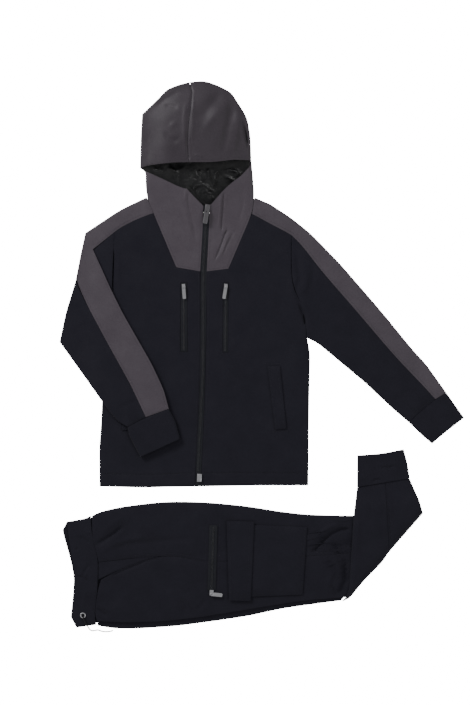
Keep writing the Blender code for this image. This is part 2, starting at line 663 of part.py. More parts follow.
def sleeve_left(bm):
    """The knitted part of the folded sleeve: under the strip, round the outer fold and up to the strip's edge."""
    def eased(x, y):
        knot_y = MIDDLE[1] - y / PLAN_STEP
        return smooth((knot_y - 262) / 17)

    def lower(x, y):
        fold = distance_to(x, y, ELBOW_FOLD)
        half = SLEEVE_HIGH / 2
        return sleeve_base(x, y) + half * eased(x, y) * (1 - rise(fold, half))

    upper = flat_tube([ELBOW_FOLD], sleeve_base, SLEEVE_HIGH, False)
    top_row = [OUTER_TOP[1], (93.6, 250.2), ARMHOLE_LEFT[-1]]
    outer = ELBOW_FOLD + OUTER_TOP[1:2]
    inner = STRIPE_HIGH[:5] + ARMHOLE_LEFT[3:]
    patch(
        bm,
        edge([ELBOW_FOLD[0], STRIPE_LOW[0], STRIPE_HIGH[0]], 5, head=FOLD_LINES),
        edge(top_row, 5, head=FOLD_LINES),
        edge(outer, 18),
        edge(inner, 18),
        lower,
        seams="sne",
        up=False,
    )
    wrist = edge(WRIST_LEFT, 4, head=FOLD_LINES)
    fold = edge(outer, 18)
    last = min(range(len(fold)), key=lambda i: (fold[i] - plan(ELBOW_FOLD[-1])).length)
    point = [fold[last].copy() for _ in wrist]
    patch(bm, wrist, point, fold[: last + 1], edge(STRIPE_LOW, last), upper, seams="se")


def cuff(south, north, west, east, base, high):
    """Builds a ribbed cuff laid flat: a band folded along its south and north sides."""
    def build(bm):
        for bottom in (False, True):
            patch(
                bm,
                edge(south, 3),
                edge(north, 3),
                edge(west, 5, head=FOLD_LINES, tail=FOLD_LINES),
                edge(east, 5, head=FOLD_LINES, tail=FOLD_LINES),
                flat_tube([south, north], base, high, bottom),
                seams="w",
                up=not bottom,
            )

    return build


def zip_tape(bm):
    """The tape of the front zip, from the hem to the top stop."""
    south = [(195, 485.9), (200.8, 485.8)]
    north = [(203.4, 206), (209.6, 206)]

    def height(x, y):
        knot_y = MIDDLE[1] - y / PLAN_STEP
        return (neck_top(x, y) if knot_y < 271.6 else front_top(x, y)) - 0.6 * MM

    patch(
        bm,
        edge(south, 2),
        edge(north, 2),
        edge(ZIP_LEFT + NECK_ZIP_LEFT[1:], 24, head=(7 * MM,)),
        edge(ZIP_RIGHT + NECK_ZIP_RIGHT[1:], 24, head=(7 * MM,)),
        height,
        seams="we",
    )


def panel_from(corners, columns, rows, height):
    """Builds a four-cornered piece of cloth. Corners run south-west, south-east, north-east, north-west."""
    sw, se, ne, nw = corners

    def build(bm):
        patch(bm, edge([sw, se], columns), edge([nw, ne], columns), edge([sw, nw], rows), edge([se, ne], rows), height)

    return build


def waistband(bm):
    """The elastic waistband, a band folded along its upper and lower sides."""
    half = WAIST_HIGH / 2
    for bottom, mouth in ((False, WAIST_TOP_EDGE), (True, WAIST_BACK_EDGE)):
        patch(
            bm,
            edge(WAIST_SOUTH, 3),
            edge(WAIST_NORTH, 3),
            edge(mouth, 8, head=FOLD_LINES, tail=FOLD_LINES),
            edge(WAIST_SEAM, 8, head=FOLD_LINES, tail=FOLD_LINES),
            flat_tube([WAIST_SOUTH, WAIST_NORTH], floor_height, 2 * half, bottom),
            seams="e",
            up=not bottom,
        )


def leg_back(bm):
    """The back panel of the upper leg, from the folded edge to the side seam."""
    patch(
        bm,
        edge(SIDE_SEAM, 18),
        edge(LEG_RIDGE, 18),
        edge([SIDE_SEAM[0], (97.2, 554), (92.7, 541.2), LEG_RIDGE[0]], 4, tail=EDGE_LINES),
        edge([SIDE_SEAM[-1], (411, 516)], 4, tail=EDGE_LINES),
        leg_top,
        seams="sw",
    )


def leg_front(bm):
    """The front panel of the upper leg, cut away along the slanted pocket mouth."""
    patch(
        bm,
        edge(LEG_UNDERSIDE, 18),
        edge(POCKET_MOUTH + SIDE_SEAM[3:], 18),
        edge([LEG_UNDERSIDE[0], (94.6, 613.9), (97.8, 589.7), POCKET_MOUTH[0]], 4),
        edge([LEG_UNDERSIDE[-1], SIDE_SEAM[-1]], 4),
        leg_top,
        seams="nw",
    )


def pocket_facing(bm):
    """The facing that shows in the slanted pocket, between its mouth and the side seam."""
    patch(
        bm,
        edge([(98.4, 579.5)] + POCKET_MOUTH[1:4] + [(158, 556.6)], 5),
        edge([SIDE_SEAM[0], SIDE_SEAM[1], (158, 555.9)], 5),
        edge([(98.4, 579.5), SIDE_SEAM[0]], 2),
        edge([(158, 556.6), (158, 555.9)], 2),
        raised(leg_top, -0.5 * MM),
        seams="snwe",
    )


def shin_half(back):
    """Builds one panel of the folded-up shin, on either side of its side seam."""
    def build(bm):
        if back:
            patch(bm, edge(DIAGONAL_BACK, 5, head=EDGE_LINES), edge(ANKLE_BACK, 5, head=EDGE_LINES),
                  edge(SHIN_BACK, 9, head=EDGE_LINES), edge(SHIN_SEAM, 9, head=EDGE_LINES), shin_top, seams="en")
        else:
            patch(bm, edge(DIAGONAL_FRONT, 5, tail=EDGE_LINES), edge(ANKLE_FRONT, 5, tail=EDGE_LINES),
                  edge(SHIN_SEAM, 9, head=EDGE_LINES), edge(SHIN_FRONT, 9, head=EDGE_LINES), shin_top, seams="wn")

    return build


def block(name, finish, size, place, turn=0.0, bevel=0.4 * MM):
    """A small moulded block, `size` across, with eased edges."""
    bm = bmesh.new()
    bmesh.ops.create_cube(bm, size=1.0)
    bmesh.ops.scale(bm, vec=size, verts=bm.verts)
    bmesh.ops.bevel(bm, geom=bm.edges[:], offset=bevel, segments=2, profile=0.5, affect="EDGES")
    mesh = bpy.data.meshes.new(name)
    bm.to_mesh(mesh)
    bm.free()
    obj = add(name, mesh, finish)
    obj.location = place
    obj.rotation_euler = (0.0, 0.0, turn)
    return obj


def slider(name, finish, width, length, place, turn):
    """A zip slider: a low body with a post on top that the pull hangs on."""
    body_high, post_high, post_wide, post_long = 2.2 * MM, 3.2 * MM, 1.8 * MM, 1.8 * MM
    bm = bmesh.new()
    bmesh.ops.create_cube(bm, size=1.0)
    bmesh.ops.scale(bm, vec=(width, length, body_high), verts=bm.verts)
    bmesh.ops.translate(bm, vec=(0.0, length / 2 - 1.5 * post_long, body_high / 2), verts=bm.verts)
    cuts = [((post_wide / 2, 0, 0), (1, 0, 0)), ((-post_wide / 2, 0, 0), (1, 0, 0)),
            ((0, post_long / 2, 0), (0, 1, 0)), ((0, -post_long / 2, 0), (0, 1, 0))]
    for spot, normal in cuts:
        bmesh.ops.bisect_plane(bm, geom=bm.verts[:] + bm.edges[:] + bm.faces[:], plane_co=spot, plane_no=normal)
    top = [f for f in bm.faces if f.normal.z > 0.9 and f.calc_center_median().xy.length < 0.2 * MM]
    made = bmesh.ops.extrude_face_region(bm, geom=top)["geom"]
    bmesh.ops.translate(bm, vec=(0.0, 0.0, post_high), verts=[v for v in made if isinstance(v, bmesh.types.BMVert)])
    bmesh.ops.delete(bm, geom=top, context="FACES_ONLY")
    mesh = bpy.data.meshes.new(name)
    bm.to_mesh(mesh)
    bm.free()
    obj = add(name, mesh, finish)
    obj.location = place
    obj.rotation_euler = (0.0, 0.0, turn)
    return obj


def pull(name, finish, width, length, place, turn, droop):
    """A zip pull: a forked plate whose arms stand either side of the slider's post, with its origin on the hinge."""
    thick, notch_wide, notch_long, reach = 1.3 * MM, 2.8 * MM, 3.6 * MM, 1.1 * MM
    rows = (reach, reach - notch_long, reach - length)
    bm = bmesh.new()
    grid = bmesh.ops.create_grid(bm, x_segments=3, y_segments=2, size=1.0)["verts"]
    columns = (-width / 2, -notch_wide / 2, notch_wide / 2, width / 2)
    for vert in grid:
        i, j = round((vert.co.x + 1) * 1.5), round(vert.co.y + 1)
        vert.co = (columns[i], rows[2 - j], -thick / 2)
    notch = [f for f in bm.faces if abs(f.calc_center_median().x) < 0.1 * MM and f.calc_center_median().y > rows[1]]
    bmesh.ops.delete(bm, geom=notch, context="FACES")
    corners = [v for v in bm.verts if v.co.y < rows[2] + MM and abs(v.co.x) > width / 2 - 0.1 * MM]
    bmesh.ops.bevel(bm, geom=corners, offset=width * 0.28, segments=3, profile=0.5, affect="VERTICES")
    made = bmesh.ops.extrude_face_region(bm, geom=bm.faces[:])["geom"]
    bmesh.ops.translate(bm, vec=(0.0, 0.0, thick), verts=[v for v in made if isinstance(v, bmesh.types.BMVert)])
    bmesh.ops.recalc_face_normals(bm, faces=bm.faces)
    mesh = bpy.data.meshes.new(name)
    bm.to_mesh(mesh)
    bm.free()
    obj = add(name, mesh, finish)
    obj.location = place
    obj.rotation_euler = (droop, 0.0, turn)
    return obj


def zip_fittings(name, finish, spot, surface, width, body_long, pull_long, run, turn, droop):
    """A slider on its tape, and the pull that hinges on it.

    `surface` is the height of the cloth round it, `run` the zip's direction and `turn` the pull's.
    """
    ground = plan(spot)
    ground.z = surface + 0.1 * MM
    slider(f"{name}_slider", finish, width, body_long, ground, run)
    hinge = ground + Vector((0.0, 0.0, HINGE_HIGH))
    pull(f"{name}_pull", finish, width, pull_long, hinge, turn, droop)


def drawcord(finish):
    """The drawcord, a smooth curve through its route."""
    route = []
    for x, y, z in CORD_ROUTE:
        point = plan((x, y))
        point.z = z * MM
        route.append(point)
    guide = [route[0] * 2 - route[1]] + route + [route[-1] * 2 - route[-2]]
    points = []
    for a, b, c, d in zip(guide, guide[1:], guide[2:], guide[3:]):
        for step in range(3):
            t = step / 3
            points.append((b * 2 + (c - a) * t + (a * 2 - b * 5 + c * 4 - d) * t * t
                           + (b * 3 - a - c * 3 + d) * t * t * t) * 0.5)
    points.append(route[-1])
    curve = bpy.data.curves.new("drawcord", "CURVE")
    curve.dimensions = "3D"
    curve.bevel_depth = CORD_RADIUS
    curve.bevel_resolution = 2
    curve.use_fill_caps = True
    spline = curve.splines.new("POLY")
    spline.points.add(len(points) - 1)
    for point, place in zip(spline.points, points):
        point.co = (*place, 1.0)
    obj = bpy.data.objects.new("drawcord", curve)
    curve.materials.append(finish)
    PARTS.objects.link(obj)


def eyelet(finish):
    """The metal eyelet of the drawcord, set on the waistband."""
    bpy.ops.mesh.primitive_torus_add(major_radius=4.6 * MM, minor_radius=1.3 * MM, major_segments=16,
                                     minor_segments=6)
    ring = bpy.context.active_object
    for holder in list(ring.users_collection):
        holder.objects.unlink(ring)
    PARTS.objects.link(ring)
    ring.name = "drawcord_eyelet"
    ring.location = plan((83.1, 615)) + Vector((0.0, 0.0, WAIST_HIGH + 1.2 * MM))
    ring.scale.z = 0.6
    ring.data.materials.append(finish)


def cut_slot(obj, corners):
    """Cuts the slot of a set-in zip through a panel, a little wider than its tape."""
    bm = bmesh.new()
    panel_from(corners, 1, 1, lambda x, y: -5 * MM)(bm)
    made = bmesh.ops.extrude_face_region(bm, geom=bm.faces[:])["geom"]
    bmesh.ops.translate(bm, vec=(0.0, 0.0, 30 * MM), verts=[v for v in made if isinstance(v, bmesh.types.BMVert)])
    bmesh.ops.recalc_face_normals(bm, faces=bm.faces)
    mesh = bpy.data.meshes.new(f"{obj.name}_slot")
    bm.to_mesh(mesh)
    bm.free()
    cutter = bpy.data.objects.new(f"{obj.name}_slot", mesh)
    cutter.hide_render = True
    cutter.display_type = "WIRE"
    CUTTERS.objects.link(cutter)
    slot = obj.modifiers.new("zip slot", "BOOLEAN")
    slot.object = cutter


def build_jacket(knit, woven, satin, tape, rib, gunmetal, silver):
    """The jacket, with its left sleeve folded over the front."""
    cloth("jacket_back", knit, KNIT, jacket_back)
    left = cloth("jacket_front_left", knit, KNIT, front_left)
    right = cloth("jacket_front_right", knit, KNIT, front_right)
    cloth("jacket_yoke_left", woven, WOVEN, yoke_left)
    cloth("jacket_yoke_right", woven, WOVEN, yoke_right)
    cloth("hood_left", woven, WOVEN, hood_half(True))
    cloth("hood_right", woven, WOVEN, hood_half(False))
    cloth("hood_lining", satin, LINING, hood_lining)
    cloth("sleeve_stripe_right", woven, WOVEN, stripe_right)
    cloth("sleeve_stripe_left", woven, WOVEN, stripe_left)
    cloth("sleeve_right", knit, KNIT, sleeve_right)
    cloth("sleeve_left", knit, KNIT, sleeve_left)
    cuff_seam = WRIST_RIGHT + [RIDGE_RIGHT[-1]]
    cloth("cuff_right", rib, RIB, cuff(CUFF_RIGHT_LOW, CUFF_RIGHT_HIGH, cuff_seam, CUFF_RIGHT_END,
                                       floor_height, CUFF_HIGH))
    cloth("cuff_left", rib, RIB, cuff(CUFF_LEFT_LOW, CUFF_LEFT_HIGH, WRIST_LEFT + [STRIPE_HIGH[0]],
                                      [CUFF_LEFT_LOW[-1], CUFF_LEFT_HIGH[-1]], sleeve_base, CUFF_HIGH))
    cloth("main_zip_tape", tape, LINING, zip_tape)
    for side, panel, corners in (
        ("left", left, [(180.5, 351.6), (187.6, 351.6), (187, 283), (181, 283)]),
        ("right", right, [(222.6, 352.4), (227.8, 352.4), (228.4, 283), (223.6, 283)]),
    ):
        cut_slot(panel, [(corners[0][0] - 0.2, corners[0][1] + 0.2), (corners[1][0] + 0.2, corners[1][1] + 0.2),
                         (corners[2][0] + 0.2, corners[2][1] - 0.2), (corners[3][0] - 0.2, corners[3][1] - 0.2)])
        cloth(f"chest_zip_{side}_tape", tape, LINING, panel_from(corners, 2, 6, raised(front_top, -0.6 * MM)))
    welt = [(275, 429.5), (286.4, 428.5), (279.8, 366), (267.3, 366)]
    cloth("hand_pocket_welt_right", knit, KNIT, panel_from(welt, 2, 6, raised(front_top, KNIT + CLEAR)))
    welt = [(121.6, 430.6), (133, 429.5), (140.7, 366), (128.2, 366)]
    cloth("hand_pocket_welt_left", knit, LINING, panel_from(welt, 4, 10, raised(front_top, LINING + 2 * CLEAR)))
    block("main_zip_box", silver, (9.4 * MM, 16 * MM, 2.6 * MM),
          plan((199.4, 477.6)) + Vector((0.0, 0.0, BODY_TOP + 1.7 * MM)), math.radians(-2.6))
    zip_fittings("main_zip", gunmetal, (206.9, 211.2), neck_top(*plan((206.9, 211.2)).xy) + 1.1 * MM, 9.6 * MM, 16 * MM,
                 27 * MM, math.radians(-9), math.radians(-9), math.radians(5))
    zip_fittings("chest_zip_left", silver, (183.7, 287.6), BODY_TOP, 6.8 * MM, 10 * MM, 24 * MM, math.radians(4),
                 math.radians(4), math.radians(4))
    zip_fittings("chest_zip_right", silver, (225.7, 287.6), BODY_TOP, 6.8 * MM, 10 * MM, 24 * MM, math.radians(-4),
                 math.radians(-9), math.radians(4))


def build_trousers(knit, tape, rib, silver, cord):
    """The trousers, laid on their side with the shins folded back up."""
    slab("trouser_hidden_layers", knit, edge(STACK_SOUTH, 16), edge(STACK_NORTH, 16), edge(STACK_WEST, 6),
         edge(STACK_EAST, 6), floor_height, stack_top)
    slab("shin_hidden_layers", knit, edge(SHIN_STACK_SOUTH, 4), edge(SHIN_STACK_NORTH, 4), edge(SHIN_STACK_WEST, 8),
         edge(SHIN_STACK_EAST, 8), shin_stack_low, shin_stack_top)
    cloth("trouser_waistband", knit, 2.6 * MM, waistband)
    cloth("leg_back_panel", knit, KNIT, leg_back)
    cloth("leg_front_panel", knit, KNIT, leg_front)
    cloth("front_pocket_facing", knit, 1.0 * MM, pocket_facing)
    cloth("shin_back_panel", knit, KNIT, shin_half(True))
    cloth("shin_front_panel", knit, KNIT, shin_half(False))
    cloth("leg_cuff_under", rib, RIB * 0.8, cuff(ANKLE_WEST, ANKLE_EAST, ANKLE_SEAM, ANKLE_END, floor_height,
                                                 ANKLE_HIGH))
    cloth("leg_cuff_upper", rib, RIB * 0.8, cuff(ANKLE_WEST, ANKLE_EAST, ANKLE_SEAM, ANKLE_END,
                                                 raised(floor_height, ANKLE_HIGH + CLEAR), ANKLE_HIGH))
    bag = [(232.5, 597), (302.5, 594.2), (307, 526.8), (230, 523.6)]
    cloth("cargo_pocket_bag", knit, KNIT, panel_from(bag, 6, 6, raised(leg_top, KNIT + CLEAR)))
    flap = [(229, 600), (250.7, 600.6), (254.2, 521.4), (226.6, 520.6)]
    cloth("cargo_pocket_flap", knit, KNIT, panel_from(flap, 3, 6, raised(leg_top, 2 * (KNIT + CLEAR))))
    tape_corners = [(207.4, 590), (215.8, 590), (217.5, 525), (209.5, 525)]
    cloth("leg_zip_tape", tape, LINING, panel_from(tape_corners, 2, 6, raised(leg_top, LINING + CLEAR)))
    zip_fittings("leg_zip", silver, (211.4, 593.6), LEG_TOP + LINING + CLEAR, 7.6 * MM, 11 * MM, 23 * MM,
                 math.radians(-3), math.radians(84), math.radians(4))
    eyelet(silver)
    drawcord(cord)


def main():
    """Clears the scene and builds the set."""
    global PARTS, CUTTERS
    for obj in list(bpy.data.objects):
        bpy.data.objects.remove(obj)
    PARTS = bpy.data.collections.new("tracksuit")
    CUTTERS = bpy.data.collections.new("cutters")
    CUTTERS.hide_render = True
    for made in (PARTS, CUTTERS):
        bpy.context.scene.collection.children.link(made)
    knit = material("black double knit", (0.012, 0.012, 0.016), 0.85)
    woven = material("grey stretch woven", (0.070, 0.062, 0.068), 0.55)
    satin = material("black satin lining", (0.010, 0.011, 0.013), 0.3)
    tape = material("black zip tape", (0.018, 0.019, 0.022), 0.6)
    rib = material("black rib", (0.011, 0.011, 0.014), 0.9)
    cord = material("black cord", (0.010, 0.010, 0.011), 0.8)
    gunmetal = material("gunmetal", (0.16, 0.155, 0.16), 0.35, 1.0)
    silver = material("polished nickel", (0.6, 0.6, 0.6), 0.25, 1.0)
    build_jacket(knit, woven, satin, tape, rib, gunmetal, silver)
    build_trousers(knit, tape, rib, silver, cord)


if __name__ == "__main__":
    main()
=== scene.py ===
"""A hooded jacket and trousers, laid flat: cloth, seams, zips and trimmings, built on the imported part."""

import logging
import math
from dataclasses import dataclass
from enum import Enum
from typing import Callable

import bmesh
import bpy
import numpy as np
from mathutils import Matrix, Vector
from mathutils.bvhtree import BVHTree


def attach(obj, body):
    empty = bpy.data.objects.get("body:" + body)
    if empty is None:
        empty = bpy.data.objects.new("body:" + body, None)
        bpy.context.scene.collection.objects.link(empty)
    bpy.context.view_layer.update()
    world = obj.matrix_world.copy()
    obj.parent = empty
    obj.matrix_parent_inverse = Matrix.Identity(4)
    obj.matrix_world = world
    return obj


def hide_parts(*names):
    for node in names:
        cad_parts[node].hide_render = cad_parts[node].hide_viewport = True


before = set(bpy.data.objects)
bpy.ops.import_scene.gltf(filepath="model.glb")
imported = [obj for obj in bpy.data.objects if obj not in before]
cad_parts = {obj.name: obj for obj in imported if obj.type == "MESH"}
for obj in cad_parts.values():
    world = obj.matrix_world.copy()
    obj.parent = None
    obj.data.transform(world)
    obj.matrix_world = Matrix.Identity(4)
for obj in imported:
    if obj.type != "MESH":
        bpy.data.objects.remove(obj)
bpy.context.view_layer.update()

LOG = logging.getLogger("tracksuit")
MM = 0.001
PLAN_STEP = 2.0 * MM
MIDDLE = (261.8, 354.65)
SET_BODY = "set"
WELD = 0.01 * MM
OVERHEAD = 0.2
BLOTCH = 38 * MM
FLECK = 2.4 * MM
CRUSH = 16 * MM
MARKS = 2.0 * MM
DOWN = Vector((0, 0, -1))
RIM_ANGLE = math.radians(32)
CORNER_ANGLE = math.radians(148)

Knots = tuple[tuple[float, float], ...]
Zone = Callable[[np.ndarray], np.ndarray]


def plan(knot: tuple[float, float], high: float = 0.0) -> Vector:
    """The point over a plan knot, at a height in metres."""
    return Vector(((knot[0] - MIDDLE[0]) * PLAN_STEP, (MIDDLE[1] - knot[1]) * PLAN_STEP, high))


def smooth(share: np.ndarray) -> np.ndarray:
    """An even blend from 0 to 1."""
    share = np.clip(share, 0.0, 1.0)
    return share * share * (3.0 - 2.0 * share)


def linear(colour: str) -> tuple[float, float, float, float]:
    """Turns an sRGB hex colour to linear values.

    Args:
        colour: six hex digits, with a hash mark first.

    Returns:
        Red, green, blue and an alpha of 1.
    """
    parts = [int(colour[i : i + 2], 16) / 255 for i in (1, 3, 5)]
    red, green, blue = (p / 12.92 if p <= 0.04045 else ((p + 0.055) / 1.055) ** 2.4 for p in parts)
    return red, green, blue, 1.0


def add_node(tree: bpy.types.NodeTree, kind: str, links: dict | None = None, values: dict | None = None,
             **settings: object) -> bpy.types.Node:
    """Adds a shader node with its settings, values and links.

    Args:
        tree: the node tree that it goes in.
        kind: the node's type name.
        links: input name to the output socket that feeds it.
        values: input name to its fixed value.
        settings: properties of the node.

    Returns:
        The new node.
    """
    node = tree.nodes.new(kind)
    for name, value in settings.items():
        setattr(node, name, value)
    for name, value in (values or {}).items():
        node.inputs[name].default_value = value
    for name, socket in (links or {}).items():
        tree.links.new(socket, node.inputs[name])
    return node


def bands(pitch: float) -> float:
    """The Wave texture's scale for bands that repeat at a pitch in metres."""
    return 2 * math.pi / (20.0 * pitch)


class Weave(Enum):
    """How a cloth is made, which sets its relief."""

    DOUBLE_KNIT = "double knit"
    PLAIN_WOVEN = "plain woven"
    SATIN = "satin"
    RIB = "rib knit"
    TAPE = "woven tape"
    BRAID = "braid"


@dataclass(frozen=True)
class Fabric:
    """A cloth's finish: its colours, gloss and the relief of its weave."""

    name: str
    slot: str
    weave: Weave
    colour: str
    worn: str
    roughness: float
    sheen: float
    specular: float
    pitch: float
    relief: float
    turn: float = 0.0

    def material(self) -> bpy.types.Material:
        """Builds the cloth's material, or finds it if it is made already."""
        made = bpy.data.materials.get(self.name)
        if made:
            return made
        made = bpy.data.materials.new(self.name)
        made.use_nodes = True
        tree = made.node_tree
        shader = tree.nodes["Principled BSDF"]
        shader.inputs["Roughness"].default_value = self.roughness
        shader.inputs["Sheen Weight"].default_value = self.sheen
        shader.inputs["Sheen Roughness"].default_value = 0.5
        shader.inputs["Specular IOR Level"].default_value = self.specular
        place = add_node(tree, "ShaderNodeTexCoord").outputs["Object"]
        turned = add_node(tree, "ShaderNodeMapping", {"Vector": place},
                          {"Rotation": (0.0, 0.0, self.turn)}).outputs["Vector"]
        blotch = add_node(tree, "ShaderNodeTexNoise", {"Vector": place},
                          {"Scale": 1 / BLOTCH, "Detail": 4.0, "Roughness": 0.6})
        fleck = add_node(tree, "ShaderNodeTexNoise", {"Vector": place},
                         {"Scale": 1 / FLECK, "Detail": 2.0, "Roughness": 0.7})
        cast = add_node(tree, "ShaderNodeMath", {0: blotch.outputs["Fac"], 1: fleck.outputs["Fac"]},
                        operation="ADD")
        share = add_node(tree, "ShaderNodeMapRange", {"Value": cast.outputs["Value"]},
                         {"From Min": 0.7, "From Max": 1.3})
        mixed = add_node(tree, "ShaderNodeMix", {"Factor": share.outputs["Result"]}, data_type="RGBA")
        mixed.inputs["A"].default_value = linear(self.colour)
        mixed.inputs["B"].default_value = linear(self.worn)
        tree.links.new(mixed.outputs["Result"], shader.inputs["Base Color"])
        tree.links.new(self.bump(tree, turned, fleck.outputs["Fac"]), shader.inputs["Normal"])
        return made

    def bump(self, tree: bpy.types.NodeTree, place: bpy.types.NodeSocket,
             fleck: bpy.types.NodeSocket) -> bpy.types.NodeSocket:
        """Adds the weave's relief.

        Args:
            tree: the material's tree.
            place: the coordinates, turned to the cloth's grain.
            fleck: a fine noise.

        Returns:
            The normal that the relief gives.
        """
        ribs = add_node(tree, "ShaderNodeTexWave", {"Vector": place}, {"Scale": bands(self.pitch),
                        "Distortion": 0.4, "Detail": 1.0}, wave_type="BANDS", bands_direction="X")
        high = ribs.outputs["Fac"]
        if self.weave in (Weave.PLAIN_WOVEN, Weave.DOUBLE_KNIT, Weave.TAPE, Weave.BRAID):
            across = add_node(tree, "ShaderNodeTexWave", {"Vector": place},
                              {"Scale": bands(self.pitch * 1.2),
                              "Distortion": 0.4, "Detail": 1.0}, wave_type="BANDS",
                              bands_direction="DIAGONAL" if self.weave is Weave.BRAID else "Y")
            high = add_node(tree, "ShaderNodeMath", {0: high, 1: across.outputs["Fac"]},
                            operation="MULTIPLY").outputs["Value"]
        if self.weave is Weave.SATIN:
            crush = add_node(tree, "ShaderNodeTexNoise", {"Vector": place}, {"Scale": 1 / CRUSH,
                             "Detail": 3.0, "Roughness": 0.55, "Distortion": 1.2})
            high = add_node(tree, "ShaderNodeMath", {0: high, 1: crush.outputs["Fac"]},
                            operation="MULTIPLY").outputs["Value"]
            high = add_node(tree, "ShaderNodeMath", {0: crush.outputs["Fac"], 1: high}, operation="ADD")
            high = high.outputs["Value"]
        together = high
        if self.weave is not Weave.SATIN:
            together = add_node(tree, "ShaderNodeMath", {0: high, 1: fleck},
                                operation="ADD").outputs["Value"]
        relief = add_node(tree, "ShaderNodeBump", {"Height": together},
                          {"Strength": 0.6, "Distance": self.relief})
        return relief.outputs["Normal"]


@dataclass(frozen=True)
class PlatedZinc:
    """A plated zinc casting, tumbled smooth, with faint handling marks."""

    name: str
    slot: str
    colour: str
    dulled: str
    roughness: float

    def material(self) -> bpy.types.Material:
        """Builds the metal's material, or finds it if it is made already."""
        made = bpy.data.materials.get(self.name)
        if made:
            return made
        made = bpy.data.materials.new(self.name)
        made.use_nodes = True
        tree = made.node_tree
        shader = tree.nodes["Principled BSDF"]
        shader.inputs["Metallic"].default_value = 1.0
        place = add_node(tree, "ShaderNodeTexCoord").outputs["Object"]
        marks = add_node(tree, "ShaderNodeTexNoise", {"Vector": place},
                         {"Scale": 1 / MARKS, "Detail": 5.0, "Roughness": 0.7})
        mixed = add_node(tree, "ShaderNodeMix", {"Factor": marks.outputs["Fac"]}, data_type="RGBA")
        mixed.inputs["A"].default_value = linear(self.colour)
        mixed.inputs["B"].default_value = linear(self.dulled)
        tree.links.new(mixed.outputs["Result"], shader.inputs["Base Color"])
        gloss = add_node(tree, "ShaderNodeMapRange", {"Value": marks.outputs["Fac"]},
                         {"To Min": self.roughness * 0.8, "To Max": self.roughness * 1.3})
        tree.links.new(gloss.outputs["Result"], shader.inputs["Roughness"])
        relief = add_node(tree, "ShaderNodeBump", {"Height": marks.outputs["Fac"]},
                          {"Strength": 0.2, "Distance": 0.05 * MM})
        tree.links.new(relief.outputs["Normal"], shader.inputs["Normal"])
        return made


# Double knit of polyester and cotton: a close, dull face with a fine grain of wales 1.4 mm apart, drawn a
# little coarser than the real 0.9 mm so that it shows.
KNIT = Fabric("double knit black", "knit", Weave.DOUBLE_KNIT, "#22212A", "#282730", 0.9, 0.05, 0.15,
              1.4 * MM, 0.12 * MM)
# The knit's turned edges, coloured darker than the knit: painted shade for the groove of their seam.
TURNED_SHADE = Fabric("double knit black turned edge in painted shade", "knit", Weave.DOUBLE_KNIT, "#0E0E13", "#131318", 0.95,
                0.0, 0.1, 1.4 * MM, 0.12 * MM)
# Stretch woven polyester: a smooth, faintly lustrous violet-grey face.
WOVEN = Fabric("stretch woven grey", "woven", Weave.PLAIN_WOVEN, "#4C454D", "#575058", 0.55, 0.08, 0.3,
               1.2 * MM, 0.06 * MM)
# The same cloth on the hood, set a little darker to stand in for the softer light that falls there.
HOOD_WOVEN = Fabric("stretch woven grey hood", "woven", Weave.PLAIN_WOVEN, "#3C363D", "#474148", 0.5,
                    0.08, 0.3, 1.2 * MM, 0.06 * MM)
# Acetate satin lining: near black, with a soft gloss that its wrinkles catch.
SATIN = Fabric("satin lining black", "satin", Weave.SATIN, "#08090B", "#0F1013", 0.3, 0.05, 0.5,
               0.9 * MM, 1.2 * MM)
# Rib knit 2 by 2: wales 3 mm apart along the cuff.
RIB_LEFT, RIB_RIGHT, RIB_ANKLE = (
    Fabric(f"rib knit black {place}", "rib", Weave.RIB, "#22212A", "#282730", 0.9, 0.05, 0.15, 3.0 * MM,
           0.35 * MM, math.radians(degrees))
    for place, degrees in (("left cuff", -27), ("right cuff", -38), ("ankle", 4))
)
# Polyester zip tape, woven in a fine herringbone, a shade lighter than the knit.
TAPE = Fabric("zip tape black", "tape", Weave.TAPE, "#202127", "#27282E", 0.7, 0.05, 0.2, 1.0 * MM,
              0.08 * MM)
# Nylon coil of the zips: smooth, with a small highlight on each turn.
COIL = Fabric("nylon coil black", "tape", Weave.TAPE, "#25262B", "#2E2F35", 0.4, 0.0, 0.5, 1.0 * MM,
              0.02 * MM)
# Braided polyester cord.
BRAID = Fabric("braided cord black", "cord", Weave.BRAID, "#141418", "#1E1E22", 0.8, 0.1, 0.3,
               1.2 * MM, 0.1 * MM)
# Spun polyester sewing thread, black on the knit and grey on the woven cloth.
THREAD = Fabric("thread black", "knit", Weave.BRAID, "#22222B", "#2A2A34", 0.6, 0.05, 0.25, 0.5 * MM,
                0.02 * MM)
THREAD_GREY = Fabric("thread grey", "woven", Weave.BRAID, "#3E3740", "#48414A", 0.6, 0.05, 0.25,
                     0.5 * MM, 0.02 * MM)
# Zinc castings, one plated in dark nickel and one in bright nickel.
GUNMETAL = PlatedZinc("zinc dark nickel plate", "gunmetal", "#8A888C", "#6C6A6E", 0.32)
NICKEL = PlatedZinc("zinc bright nickel plate", "nickel", "#D8D8DC", "#B4B4B8", 0.22)


